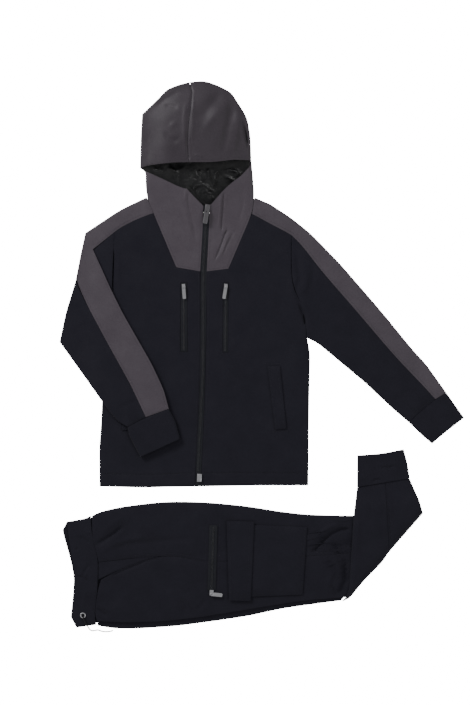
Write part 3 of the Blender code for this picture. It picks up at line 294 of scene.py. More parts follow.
@dataclass(frozen=True)
class Fold:
    """A soft fold: its line, and in millimetres its height (below 0 for a trough) and its half width."""

    line: Knots
    high: float
    wide: float
    taper: float = 0.3

    def reach(self, spots: np.ndarray) -> tuple[np.ndarray, np.ndarray]:
        """Finds how far spots are from the fold's line.

        Args:
            spots: plan points, one row of x and y each, in metres.

        Returns:
            Each spot's distance, and how far along the line its nearest point is, from 0 to 1.
        """
        line = np.array([plan(knot)[:2] for knot in self.line])
        starts, runs = line[:-1], np.diff(line, axis=0)
        lengths = np.linalg.norm(runs, axis=1)
        before = np.concatenate([[0.0], np.cumsum(lengths)])
        best = np.full(len(spots), 9.0)
        share = np.zeros(len(spots))
        for start, run, length, passed in zip(starts, runs, lengths, before):
            along = np.clip(((spots - start) @ run) / length**2, 0.0, 1.0)
            gap = np.linalg.norm(spots - start - along[:, None] * run, axis=1)
            nearer = gap < best
            best = np.where(nearer, gap, best)
            share = np.where(nearer, (passed + along * length) / before[-1], share)
        return best, share

    def lift(self, spots: np.ndarray) -> np.ndarray:
        """The fold's height at plan points.

        Args:
            spots: the points, one row of x and y each, in metres.

        Returns:
            A height for each, in metres.
        """
        best, share = self.reach(spots)
        ends = smooth(np.minimum(share, 1.0 - share) / self.taper) if self.taper else 1.0
        return self.high * MM * np.exp(-((best / (self.wide * MM)) ** 2)) * ends


def swell(spots: np.ndarray, amount: float) -> np.ndarray:
    """The slight, uneven rise of cloth that lies loose.

    Args:
        spots: plan points, in metres.
        amount: its height, in metres.

    Returns:
        A height for each point.
    """
    waves = ((0.9, 0.4, 0.151, 0.3), (-0.5, 0.85, 0.113, 1.9), (0.2, -0.98, 0.083, 4.1),
             (0.75, -0.66, 0.067, 2.6))
    total = sum(np.sin((spots[:, 0] * a + spots[:, 1] * b) / length * 2 * math.pi + phase)
                for a, b, length, phase in waves)
    return total * amount / 2


def whole_sheet(points: np.ndarray) -> np.ndarray:
    """A single sheet moves through its whole thickness."""
    return np.ones(len(points))


def above(low: float, high: float) -> Zone:
    """A zone that moves only what lies above a height in millimetres, such as a tube's upper side."""
    return lambda points: smooth((points[:, 2] / MM - low) / (high - low))


def sleeve_top(points: np.ndarray) -> np.ndarray:
    """The upper side of the folded sleeve, which climbs from the floor onto the front."""
    knot_x = points[:, 0] / PLAN_STEP + MIDDLE[0]
    knot_y = MIDDLE[1] - points[:, 1] / PLAN_STEP
    base = (4.7 + 1.8 * smooth((knot_y - 338) / 22)) * smooth((knot_x - 84) / 16)
    return smooth((points[:, 2] / MM - base - 2.6) / 1.6)


def lining_floor(points: np.ndarray) -> np.ndarray:
    """The lower side of the hood's lining, which shows in the hood's mouth."""
    return smooth((4.0 - points[:, 2] / MM) / 1.0)


def cad_copy(node: str) -> bmesh.types.BMesh:
    """A merged copy of a CAD node's mesh, its triangles joined to four-sided faces where they can be."""
    bm = bmesh.new()
    bm.from_mesh(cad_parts[node].data)
    bmesh.ops.remove_doubles(bm, verts=bm.verts, dist=WELD)
    bmesh.ops.join_triangles(bm, faces=bm.faces, angle_face_threshold=math.radians(40),
                             angle_shape_threshold=math.radians(75))
    return bm


def place_mesh(name: str, bm: bmesh.types.BMesh, finish: Fabric | PlatedZinc, body: str) -> bpy.types.Object:
    """Puts a finished mesh in the scene, on its body and with its finish.

    Args:
        name: the piece's name.
        bm: its mesh, which is freed.
        finish: what it is made of.
        body: the body that it moves with.

    Returns:
        The piece.
    """
    mesh = bpy.data.meshes.new(name)
    bm.to_mesh(mesh)
    bm.free()
    mesh.materials.clear()
    mesh.materials.append(finish.material())
    mesh.shade_smooth()
    piece = bpy.data.objects.new(name, mesh)
    bpy.context.scene.collection.objects.link(piece)
    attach(piece, body)
    return piece


def shaped(name: str, bm: bmesh.types.BMesh, dress: Callable[[bpy.types.Object], None]) -> bmesh.types.BMesh:
    """Runs modifiers on a mesh and gives what they make.

    Args:
        name: a name for the passing object.
        bm: the mesh, which is freed.
        dress: adds the modifiers.

    Returns:
        The shaped mesh.
    """
    mesh = bpy.data.meshes.new(name)
    bm.to_mesh(mesh)
    bm.free()
    passing = bpy.data.objects.new(name, mesh)
    bpy.context.scene.collection.objects.link(passing)
    dress(passing)
    bpy.context.view_layer.update()
    result = bpy.data.meshes.new_from_object(passing.evaluated_get(bpy.context.evaluated_depsgraph_get()))
    bpy.data.objects.remove(passing)
    made = bmesh.new()
    made.from_mesh(result)
    bpy.data.meshes.remove(result)
    return made


@dataclass(frozen=True)
class Cloth:
    """A piece of cloth: the CAD node that it stands for, its finish, its flat cut and its folds."""

    node: str
    finish: Fabric
    cut: tuple[float, float]
    area: float
    levels: int = 3
    folds: tuple[Fold, ...] = ()
    zone: Zone = whole_sheet
    loose: float = 0.3
    held: str = "laid"
    rests_on: tuple[str, ...] = ()
    eased: float = 0.4
    top_folds: tuple[Fold, ...] = ()
    top_zone: Zone = whole_sheet

    def build(self) -> bpy.types.Object:
        """Refines the CAD node's mesh, lays the folds on it and rounds its edges.

        Returns:
            The finished piece.
        """
        bm = cad_copy(self.node)
        self.hold_edges(bm)
        bm = shaped(self.node, bm, self.subdivide)
        self.tighten(bm)
        self.lay(bm)
        bm = shaped(self.node, bm, self.round_off)
        piece = place_mesh(f"{self.node}_cloth", bm, self.finish, SET_BODY)
        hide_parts(self.node)
        LOG.info("%s: %d faces", piece.name, len(piece.data.polygons))
        return piece

    def hold_edges(self, bm: bmesh.types.BMesh) -> None:
        """Marks the cut edges and their corners, so that the subdivision keeps them in place."""
        edges = bm.edges.layers.float.new("crease_edge")
        corners = bm.verts.layers.float.new("crease_vert")
        sharp = {e for e in bm.edges if len(e.link_faces) == 2 and e.calc_face_angle(0.0) > RIM_ANGLE}
        for e in sharp:
            e[edges] = 1.0
        for vert in bm.verts:
            loop = [e for e in vert.link_edges if e in sharp]
            if len(loop) > 2:
                vert[corners] = 1.0
            elif len(loop) == 2:
                one, two = (e.other_vert(vert).co - vert.co for e in loop)
                if one.angle(two, 0.0) < CORNER_ANGLE:
                    vert[corners] = 1.0

    def subdivide(self, piece: bpy.types.Object) -> None:
        """Adds the subdivision."""
        made = piece.modifiers.new("subdivision", "SUBSURF")
        made.levels = self.levels
        made.render_levels = self.levels

    def round_off(self, piece: bpy.types.Object) -> None:
        """Eases the cut edges, as turned cloth has."""
        if self.eased:
            made = piece.modifiers.new("eased edge", "BEVEL")
            made.width = self.eased * MM
            made.segments = 2
            made.limit_method = "ANGLE"
            made.angle_limit = math.radians(50)
            made.use_clamp_overlap = True

    def tighten(self, bm: bmesh.types.BMesh) -> None:
        """Cuts the mesh finer along the folds."""
        for fold in self.folds + self.top_folds:
            longest = max(0.9 * fold.wide, 1.6) * MM
            for _ in range(3):
                edges = [e for e in bm.edges if e.calc_length() > longest]
                if not edges:
                    break
                middles = np.array([((e.verts[0].co + e.verts[1].co) / 2)[:2] for e in edges])
                gaps = fold.reach(middles)[0]
                near = [e for e, gap in zip(edges, gaps) if gap < 2.0 * fold.wide * MM + 2.0 * MM]
                if not near:
                    break
                bmesh.ops.subdivide_edges(bm, edges=near, cuts=1, use_grid_fill=True)

    def lay(self, bm: bmesh.types.BMesh) -> None:
        """Moves the cloth up and down along its folds."""
        points = np.array([v.co[:] for v in bm.verts])
        spots = points[:, :2]
        lift = swell(spots, self.loose * MM)
        for fold in self.folds:
            lift = lift + fold.lift(spots)
        lift = lift * self.zone(points)
        if self.top_folds:
            lift = lift + sum(fold.lift(spots) for fold in self.top_folds) * self.top_zone(points)
        for vert, rise in zip(bm.verts, lift):
            vert.co.z += rise


def uppermost(trees: list[BVHTree], spot: Vector) -> tuple[Vector, Vector] | None:
    """Finds the highest cloth over a plan point.

    Args:
        trees: the cloths' search trees.
        spot: the plan point.

    Returns:
        The point on the cloth and its normal, or nothing where there is no cloth.
    """
    hits = [tree.ray_cast(Vector((spot.x, spot.y, OVERHEAD)), DOWN) for tree in trees]
    hits = [hit for hit in hits if hit[0] is not None]
    return max(hits, key=lambda hit: hit[0].z)[:2] if hits else None


def search_trees(names: tuple[str, ...]) -> list[BVHTree]:
    """Search trees for the named pieces."""
    graph = bpy.context.evaluated_depsgraph_get()
    return [BVHTree.FromObject(bpy.data.objects[name], graph) for name in names]


@dataclass(frozen=True)
class SeamTurnings:
    """The turned-in edges under a seam: they bridge the two cloths and show as the seam's groove."""

    name: str
    line: Knots
    finish: Fabric
    on: tuple[str, ...]
    half: float = 3.4 * MM
    step: float = 3.0 * MM
    groove: float = 1.3 * MM
    thick: float = 1.2 * MM

    def stations(self) -> list[tuple[Vector, Vector]]:
        """Points along the seam, each with the direction across it."""
        points = [plan(knot) for knot in self.line]
        made = []
        for start, end in zip(points, points[1:]):
            run = end - start
            count = max(int(run.length / self.step), 1)
            side = Vector((-run.y, run.x, 0.0)).normalized()
            made += [(start + run * (i / count), side) for i in range(count)]
        return made + [(points[-1], made[-1][1])]

    def build(self) -> bpy.types.Object:
        """Lays the turnings as a strip between the cloths on both sides.

        Returns:
            The strip.
        """
        trees = search_trees(self.on)
        stations = self.stations()
        bm = bmesh.new()
        bmesh.ops.create_grid(bm, x_segments=len(stations) - 1, y_segments=4, size=1.0)
        heights = {}
        for i, (centre, side) in enumerate(stations):
            found = []
            for way in (-1, 1):
                spot = centre + side * way * (self.half + 0.3 * MM)
                hit = uppermost(trees, spot)
                found.append(hit[0].z if hit else None)
            known = [z for z in found if z is not None] or [3.0 * MM]
            heights[i] = [z if z is not None else min(known) for z in found]
        for vert in bm.verts:
            i = round((vert.co.x + 1) / 2 * (len(stations) - 1))
            j = round((vert.co.y + 1) * 2) - 2
            centre, side = stations[i]
            low, high = heights[i]
            share = (j + 2) / 4
            rise = low * (1 - share) + high * share - 0.3 * MM - self.groove * (1 - abs(j) / 2)
            vert.co = centre + side * (self.half * j / 2) + Vector((0, 0, max(rise, self.thick + 0.2 * MM)))
        bmesh.ops.recalc_face_normals(bm, faces=bm.faces)
        if sum(face.normal.z for face in bm.faces) < 0:
            bmesh.ops.reverse_faces(bm, faces=bm.faces)
        bmesh.ops.solidify(bm, geom=bm.faces[:], thickness=self.thick)
        return place_mesh(self.name, bm, self.finish, SET_BODY)


@dataclass(frozen=True)
class Seam:
    """A row of stitches: its line on the plan, and whether a second row runs beside it."""

    line: Knots
    twin: float = 0.0


@dataclass(frozen=True)
class Stitching:
    """The stitches on one or more pieces, laid on their upper faces."""

    name: str
    on: tuple[str, ...]
    seams: tuple[Seam, ...]
    finish: Fabric
    pitch: float = 3.4 * MM
    length: float = 2.5 * MM
    thick: float = 0.34 * MM

    def build(self) -> bpy.types.Object:
        """Lays each stitch as a small bead of thread along its seam.

        Returns:
            The stitches, as one piece.
        """
        trees = search_trees(self.on)
        bm = bmesh.new()
        for seam in self.seams:
            for shift in ((0.0, seam.twin) if seam.twin else (0.0,)):
                self.row(bm, trees, seam.line, shift)
        return place_mesh(self.name, bm, self.finish, SET_BODY)

    def row(self, bm: bmesh.types.BMesh, trees: list[BVHTree], line: Knots, shift: float) -> None:
        """Adds one row of stitches, moved sideways by a shift in metres."""
        points = [plan(knot) for knot in line]
        for start, end in zip(points, points[1:]):
            run = end - start
            side = Vector((-run.y, run.x, 0.0)).normalized() * shift
            count = max(int(run.length / self.pitch), 1)
            for i in range(count):
                spot = start + run * ((i + 0.5) / count) + side
                hit = uppermost(trees, spot)
                if not hit:
                    continue
                ground, up = hit
                along = (run - up * run.dot(up)).normalized()
                across = up.cross(along)
                turn = Matrix((along, across, up)).transposed().to_4x4()
                sized = Matrix.Diagonal((self.length / 2, self.thick, self.thick * 0.7, 1.0))
                place = Matrix.Translation(ground + up * self.thick * 0.25)
                bmesh.ops.create_icosphere(bm, subdivisions=1, radius=1.0, matrix=place @ turn @ sized)


@dataclass(frozen=True)
class Coil:
    """The nylon coil of a zip: two rows of turns that mesh along the middle of the tape."""

    name: str
    line: Knots
    on: str
    pitch: float = 1.7 * MM
    reach: float = 1.9 * MM
    thick: float = 0.62 * MM

    def build(self) -> bpy.types.Object:
        """Lays the coil's turns on the tape.

        Returns:
            The coil, as one piece.
        """
        trees = search_trees((self.on,))
        bm = bmesh.new()
        points = [plan(knot) for knot in self.line]
        for start, end in zip(points, points[1:]):
            run = end - start
            along = run.normalized()
            side = Vector((-along.y, along.x, 0.0))
            count = max(int(run.length / self.pitch), 1)
            for i in range(count * 2):
                right = 1.0 if i % 2 else -1.0
                spot = start + run * ((i + 0.5) / count / 2) + side * right * self.reach * 0.55
                hit = uppermost(trees, spot)
                if not hit:
                    continue
                turn = Matrix((side, -along, Vector((0, 0, 1)))).transposed().to_4x4()
                sized = Matrix.Diagonal((self.reach, self.thick * 1.25, self.thick, 1.0))
                place = Matrix.Translation(hit[0] + Vector((0, 0, self.thick * 0.35)))
                bmesh.ops.create_icosphere(bm, subdivisions=1, radius=1.0, matrix=place @ turn @ sized)
        return place_mesh(self.name, bm, COIL, SET_BODY)


@dataclass(frozen=True)
class Casting:
    """A small metal casting of a zip, its edges tumbled round."""

    node: str
    body: str
    finish: PlatedZinc
    eased: float = 0.35 * MM
    sunk: float = 0.0
    border: float = 1.1 * MM
    slope: float = 0.3 * MM

    def build(self) -> bpy.types.Object:
        """Rounds a copy of the CAD node, with a sunk face where it has one.

        Returns:
            The casting.
        """
        bm = bmesh.new()
        bm.from_mesh(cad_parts[self.node].data)
        bmesh.ops.remove_doubles(bm, verts=bm.verts, dist=0.005 * MM)
        bmesh.ops.dissolve_limit(bm, angle_limit=math.radians(2), verts=bm.verts, edges=bm.edges)
        if self.sunk:
            top = max(bm.faces, key=lambda f: f.normal.z * f.calc_area())
            bmesh.ops.inset_region(bm, faces=[top], thickness=self.border, depth=0.0)
            bmesh.ops.inset_region(bm, faces=[top], thickness=self.slope, depth=-self.sunk)
        sharp = [e for e in bm.edges if len(e.link_faces) == 2 and e.calc_face_angle(0.0) > math.radians(30)]
        bmesh.ops.bevel(bm, geom=sharp, offset=self.eased, segments=3, profile=0.5, material=-1,
                        affect="EDGES",
                        clamp_overlap=True)
        piece = place_mesh(f"{self.node}_casting", bm, self.finish, self.body)
        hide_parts(self.node)
        return piece


# The folds of each part of the set. A trough has a height below 0.
HOOD_FOLDS = (
    Fold(((189.6, 84), (192.3, 92.1), (190.6, 107.5), (189, 123.6), (187.6, 145), (189, 162)), -1.4, 2.6,
         0.05),
    Fold(((186.5, 100), (184.5, 118), (184.5, 136), (186, 154)), 1.4, 4.0),
    Fold(((194.5, 96), (193, 120), (192, 150)), 1.2, 3.0),
    Fold(((224, 90), (211.8, 104), (203.5, 113.4), (193.5, 121)), -4.6, 11.0, 0.35),
    Fold(((233, 96), (219, 113), (207, 127), (198, 141)), 2.6, 9.0, 0.35),
    Fold(((230.3, 96), (231.2, 113.5), (225.8, 137.6), (221.5, 160)), -4.0, 8.0, 0.3),
    Fold(((238.5, 106), (238, 128), (233.5, 150), (230, 161)), 2.2, 6.0, 0.3),
    Fold(((243.6, 117), (245.2, 130), (249.0, 150)), -3.2, 3.0, 0.3),
    Fold(((240.8, 122), (243.0, 136), (246.2, 152)), 1.6, 3.2, 0.3),
    Fold(((163.5, 131), (168, 138.5), (174.5, 142), (181.5, 137)), -1.8, 5.0),
    Fold(((170.5, 122), (176.5, 129)), 1.4, 8.0, 0.5),
    Fold(((154, 108), (166.4, 99), (181, 92)), -1.3, 6.0),
    Fold(((164, 105), (179, 108.5)), -1.0, 5.0),
    Fold(((148, 128), (150, 150), (148, 163)), -1.0, 7.0),
    Fold(((192, 157), (198, 155.5), (206, 158.5)), 0.9, 2.6),
)
LINING_FOLDS = (
    Fold(((166, 167), (177, 172), (180, 184)), 3.4, 4.0),
    Fold(((172, 178), (162, 172), (151, 169)), 2.2, 4.0),
    Fold(((185.4, 165), (190.6, 178), (196.5, 198)), 4.6, 3.2),
    Fold(((193.2, 167), (199.4, 182), (207.6, 187), (217.5, 195)), 3.2, 2.8),
    Fold(((207.6, 168), (209.5, 182)), 3.8, 3.2),
    Fold(((217.5, 168), (215.5, 180), (211.8, 190)), 4.4, 3.0),
    Fold(((203, 187), (210, 195.5), (214.9, 201)), 2.6, 2.4),
    Fold(((226.2, 169.5), (236.5, 171.6), (240.5, 178)), 4.0, 3.0),
    Fold(((222, 176), (230, 178), (236, 183)), 3.0, 2.6),
    Fold(((198, 170), (203, 176)), 2.4, 2.6),
)
YOKE_FOLDS = (
    Fold(((185.6, 188), (185.6, 202)), 1.4, 2.0, 0.4),
    Fold(((188.2, 191), (188.6, 203), (190, 212)), -1.5, 2.2, 0.3),
    Fold(((186.8, 199), (192, 219), (197, 244)), -1.6, 2.6, 0.3),
    Fold(((182.8, 204), (188.4, 224), (192, 240)), 0.9, 3.4, 0.3),
    Fold(((224.2, 191), (223, 210), (221.4, 233)), -2.2, 1.9, 0.15),
    Fold(((220.8, 194), (220, 212), (218.6, 230)), 1.1, 2.2, 0.2),
    Fold(((228, 226), (220.5, 247), (213.6, 263.6)), -2.1, 1.9, 0.25),
    Fold(((231, 229), (223.6, 249), (218, 262)), 1.2, 2.4, 0.25),
    Fold(((237, 226), (226.5, 246), (222, 258)), -1.1, 2.2, 0.3),
    Fold(((160, 216), (168, 240), (176, 262)), 0.8, 9.0),
    Fold(((242, 184), (243, 205), (238, 226)), -0.9, 4.0, 0.3),
    Fold(((163, 182), (176, 196), (183, 214)), -0.8, 6.0),
)
BODY_FOLDS = (
    Fold(((297, 247), (297.5, 262), (299.6, 279), (296.0, 292), (301.5, 308), (306.8, 326)), -2.2, 4.6, 0.2),
    Fold(((303, 262), (306.5, 280), (303, 297)), 1.8, 5.0),
    Fold(((311, 252), (313.5, 268), (312, 288)), -1.6, 5.5),
    Fold(((298.5, 302), (303.5, 315), (305.6, 329)), -2.4, 2.6),
    Fold(((235, 374), (250, 381), (268, 391)), -1.5, 9.0, 0.4),
    Fold(((240, 368), (258, 374), (272, 380)), 1.0, 9.0, 0.4),
    Fold(((208, 359), (226, 361)), -0.8, 5.0, 0.4),
    Fold(((291.6, 238), (291.5, 275), (293.9, 289)), -1.0, 1.6, 0.1),
    Fold(((114, 248), (112.6, 272), (112, 290)), -1.2, 1.8, 0.1),
    Fold(((119, 255), (118, 280), (121, 302)), 0.9, 5.0),
    Fold(((102, 473.6), (150, 474.8), (194, 473.2)), -0.55, 1.6, 0.02),
    Fold(((202, 473.2), (250, 473.2), (307, 473.2)), -0.55, 1.6, 0.02),
    Fold(((215, 430), (245, 447), (280, 452)), 0.7, 14.0, 0.4),
    Fold(((270, 262), (276, 300), (270, 330)), 0.6, 14.0, 0.4),
)
SLEEVE_RIGHT_FOLDS = BODY_FOLDS[:4] + (
    Fold(((330, 330), (345, 318), (352, 306)), 0.9, 7.0, 0.4),
    Fold(((318, 300), (322, 322), (334, 345)), -1.0, 8.0, 0.4),
    Fold(((392, 402), (402, 396), (412, 386)), -0.8, 4.0, 0.4),
    Fold(((276.5, 204), (275.6, 212)), -1.2, 2.0, 0.4),
    Fold(((279.5, 207), (279, 214)), 0.9, 2.2, 0.4),
)
SLEEVE_LEFT_FOLDS = (
    Fold(((70, 338), (84, 326), (96, 328)), -0.9, 7.0, 0.4),
    Fold(((74, 300), (82, 322), (98, 350)), 0.8, 7.0, 0.4),
    Fold(((116, 410), (128, 404), (140, 400)), -0.9, 4.0, 0.4),
    Fold(((118, 222), (122, 214)), -1.1, 4.0, 0.4),
    Fold(((131, 216), (136, 207)), 1.0, 4.0, 0.4),
)
CUFF_FOLDS = (
    Fold(((424, 414), (436, 424), (446, 430)), -0.8, 4.0, 0.4),
    Fold(((140, 432), (150, 444)), -0.8, 4.0, 0.4),
    Fold(((379, 466.6), (388, 467.6), (396.6, 466)), -1.8, 2.6, 0.35),
    Fold(((371, 482.4), (376, 479.5), (382.5, 479.5)), -1.6, 2.4, 0.35),
    Fold(((362, 472), (364, 482)), 0.9, 5.0, 0.4),
)
LEG_FOLDS = (
    Fold(((94, 545.5), (103.2, 540.7), (113.2, 534.5), (125, 525)), -3.6, 4.4, 0.25),
    Fold(((95, 552), (108, 547), (126, 540), (150, 536)), 1.4, 6.0, 0.3),
    Fold(((96, 549), (128, 544), (170, 540), (209, 538)), -1.3, 6.0, 0.3),
    Fold(((100, 535), (112, 524), (126, 516)), 1.2, 6.0, 0.3),
    Fold(((95.5, 607.4), (101, 611.6), (108, 616.4)), -2.0, 2.8, 0.3),
    Fold(((99, 604), (106, 609), (113, 611)), 1.0, 3.6, 0.3),
    Fold(((180.7, 598), (188.6, 612)), -1.5, 4.4, 0.35),
    Fold(((206, 598), (201, 606), (194, 612)), -1.2, 4.0, 0.35),
    Fold(((109.5, 576.5), (131.6, 567.2), (147.5, 560.4), (163, 557.2)), -1.3, 2.4, 0.15),
    Fold(((312.5, 553), (320.2, 543.5), (331.0, 534.0), (341.3, 529.4), (351, 529.6)), -4.6, 3.8, 0.12),
    Fold(((308, 546), (317, 536), (329, 527), (342, 522.5)), 2.0, 5.0, 0.3),
    Fold(((331.9, 540), (338, 553), (345, 563.5), (346, 580), (338, 598)), -4.6, 6.5, 0.15),
    Fold(((321, 548), (329, 560), (332.6, 572), (326, 590)), 1.9, 5.0, 0.3),
    Fold(((345, 536), (347, 560), (346, 586)), -2.6, 8.0, 0.2),
    Fold(((330, 584), (334, 590), (338, 597)), -1.8, 4.0, 0.3),
    Fold(((314, 566), (318, 582), (316, 596)), 0.8, 7.0, 0.4),
    Fold(((330, 519), (342, 520.4), (353, 519.4)), 0.9, 2.6, 0.3),
)
SHIN_FOLDS = (
    Fold(((355.5, 492), (358, 520), (354.5, 560)), 0.8, 4.5, 0.3),
    Fold(((387.4, 487), (388.6, 510), (390.4, 536), (390, 549)), -0.9, 2.0, 0.15),
    Fold(((347.5, 590), (350.5, 582), (351.6, 570)), -1.0, 2.0, 0.3),
    Fold(((365, 498), (370, 512), (368, 530)), -0.7, 7.0, 0.4),
)
WAIST_FOLDS = (
    Fold(((74.5, 575.8), (83.2, 577), (91, 582.6)), -1.7, 2.4, 0.3),
    Fold(((90, 563), (82, 576)), -1.3, 2.4, 0.3),
    Fold(((78.2, 536), (84, 538.6), (90.5, 545)), -1.7, 3.4, 0.3),
    Fold(((75, 548), (79, 549.4)), -1.2, 2.4, 0.4),
    Fold(((85.5, 588), (84.5, 606)), 0.9, 4.0, 0.3),
    Fold(((84, 529), (91, 534)), 0.8, 3.0, 0.3),
    Fold(((68.6, 524), (68.2, 531), (69.4, 540)), -1.4, 2.2, 0.3),
)


@dataclass(frozen=True)
class Jacket:
    """The hooded jacket, with its left sleeve folded over the front."""

    def cloths(self) -> tuple[Cloth, ...]:
        """The jacket's pieces of cloth, from the floor up."""
        on_back = ("jacket_back",)
        upper = above(4.0, 5.4)
        return (
            Cloth("jacket_back", KNIT, (0.424, 0.56), 0.21343, 2, loose=0.0),
            Cloth("jacket_front_left", KNIT, (0.21, 0.56), 0.0923, 3, BODY_FOLDS, loose=0.25,
                  rests_on=on_back),
            Cloth("jacket_front_right", KNIT, (0.22, 0.56), 0.09694, 3, BODY_FOLDS, loose=0.25,
                  rests_on=on_back),
            Cloth("jacket_yoke_left", WOVEN, (0.116, 0.2), 0.01472, 3, YOKE_FOLDS, rests_on=on_back),
            Cloth("jacket_yoke_right", WOVEN, (0.1, 0.214), 0.01278, 3, YOKE_FOLDS, rests_on=on_back),
            Cloth("hood_left", HOOD_WOVEN, (0.13, 0.52), 0.03779, 3, HOOD_FOLDS, above(3.0, 5.0), 0.7,
                  "folded"),
            Cloth("hood_right", HOOD_WOVEN, (0.14, 0.52), 0.04712, 3, HOOD_FOLDS, above(3.0, 5.0), 0.7,
                  "folded"),
            Cloth("hood_lining", SATIN, (0.22, 0.5), 0.07597, 3, LINING_FOLDS, lining_floor, 0.0, "folded",
                  top_folds=HOOD_FOLDS, top_zone=above(4.2, 6.2)),
            Cloth("sleeve_stripe_right", WOVEN, (0.08, 0.56), 0.03816, 2, SLEEVE_RIGHT_FOLDS, upper, 0.3,
                  "folded"),
            Cloth("sleeve_stripe_left", WOVEN, (0.07, 0.56), 0.02953, 2, SLEEVE_LEFT_FOLDS, sleeve_top, 0.3,
                  "folded"),
            Cloth("sleeve_right", KNIT, (0.3, 0.42), 0.06659, 2, SLEEVE_RIGHT_FOLDS, upper, 0.3, "folded"),
            Cloth("sleeve_left", KNIT, (0.26, 0.44), 0.05943, 2, SLEEVE_LEFT_FOLDS, sleeve_top, 0.3,
                  "folded"),
            Cloth("cuff_right", RIB_RIGHT, (0.18, 0.07), 0.01176, 3, CUFF_FOLDS, above(4.4, 6.0), 0.3,
                  "folded"),
            Cloth("cuff_left", RIB_LEFT, (0.18, 0.074), 0.01259, 3, CUFF_FOLDS, above(10.8, 12.4), 0.3,
                  "folded"),
            Cloth("main_zip_tape", TAPE, (0.0125, 0.56), 0.0069, 2, loose=0.0, rests_on=on_back, eased=0.2),
            Cloth("chest_zip_left_tape", TAPE, (0.014, 0.14), 0.00192, 2, loose=0.0, eased=0.2,
                  rests_on=on_back),
            Cloth("chest_zip_right_tape", TAPE, (0.0115, 0.138), 0.00151, 2, loose=0.0, eased=0.2,
                  rests_on=on_back),
            Cloth("hand_pocket_welt_right", KNIT, (0.026, 0.128), 0.00324, 3, BODY_FOLDS, loose=0.25,
                  rests_on=("jacket_front_right",)),
            Cloth("hand_pocket_welt_left", KNIT, (0.025, 0.13), 0.00318, 3, loose=0.0,
                  rests_on=("jacket_front_left",)),
        )

    def stitching(self) -> tuple[Stitching, ...]:
        """The jacket's rows of stitches."""
        fronts = ("jacket_front_left_cloth", "jacket_front_right_cloth")
        return (
            Stitching("front_stitches", fronts, (
                Seam(((102.6, 474), (150, 475), (193.5, 473.4)), 1.6 * MM),
                Seam(((202.6, 473.4), (250, 473.4), (306.6, 473.4)), 1.6 * MM),
                Seam(((193.2, 484), (193.4, 479), (198.3, 370), (198.6, 274))),
                Seam(((202.8, 484), (203, 479), (208.1, 370), (208.4, 274))),
                Seam(((179.6, 281.2), (179.2, 352.8), (188.8, 352.8), (188.4, 281.2), (179.6, 281.2))),
                Seam(((222.2, 281.2), (221.4, 353.8), (229.2, 353.8), (229.8, 281.2), (222.2, 281.2))),
                Seam(((287.6, 244), (287.6, 276), (290, 291), (300.4, 312))),
            ), THREAD),
            Stitching("welt_stitches", ("hand_pocket_welt_right_cloth", "jacket_front_right_cloth"), (
                Seam(((264.6, 364.2), (281.4, 364.2)), 1.4 * MM),
                Seam(((270.4, 432.2), (288.2, 431.2)), 1.4 * MM),
                Seam(((269.2, 369), (276.4, 427))),
                Seam(((277.4, 369), (284.0, 426.4))),
            ), THREAD),
            Stitching("yoke_stitches", ("jacket_yoke_left_cloth", "jacket_yoke_right_cloth"), (
                Seam(((156.4, 215), (177.8, 265.4), (199, 269.4))),
                Seam(((208.4, 269.4), (226.9, 266.8), (248.6, 215.8))),
                Seam(((198.6, 268), (200.8, 226), (201.2, 208.6))),
                Seam(((208.8, 268), (211, 226), (211.6, 208.6))),
            ), THREAD_GREY),
            Stitching("hood_stitches", ("hood_left_cloth", "hood_right_cloth"), (
                Seam(((187.6, 88), (190, 93), (188.4, 107.5), (186.4, 123.6), (185, 145), (186.4, 160))),
                Seam(((195, 92.5), (193.6, 107.5), (191.6, 123.6), (190.2, 145), (191.6, 160))),
                Seam(((143, 165.4), (173.6, 160.6), (187, 160.4))),
                Seam(((191, 160.4), (213.7, 160.2), (234.5, 157.6), (249, 158.2))),
            ), THREAD_GREY),
            Stitching("stripe_stitches", ("sleeve_stripe_right_cloth", "sleeve_stripe_left_cloth"), (
                Seam(((253.8, 212.6), (270.8, 221.6), (292.6, 232.8), (306.6, 247.6), (324.2, 271.8),
                      (356, 306.8),
                      (392.6, 351.4), (421.6, 381), (434, 395.2))),
                Seam(((141, 214.8), (120.6, 225), (114, 230), (95.6, 245.4))),
                Seam(((94.6, 255.4), (110, 292.2), (121.2, 314.7), (149.2, 363.8), (161.8, 390),
                      (165.6, 405.6))),
                Seam(((79.4, 286), (90, 305.6), (111, 344.9), (132.2, 382.8), (146.4, 412))),
            ), THREAD_GREY),
            Stitching("cuff_stitches", ("sleeve_right_cloth", "sleeve_left_cloth"), (
                Seam(((408.6, 419.6), (415.6, 412.2), (432.4, 398.4))),
                Seam(((127.6, 424.4), (145.2, 415))),
            ), THREAD),
        )

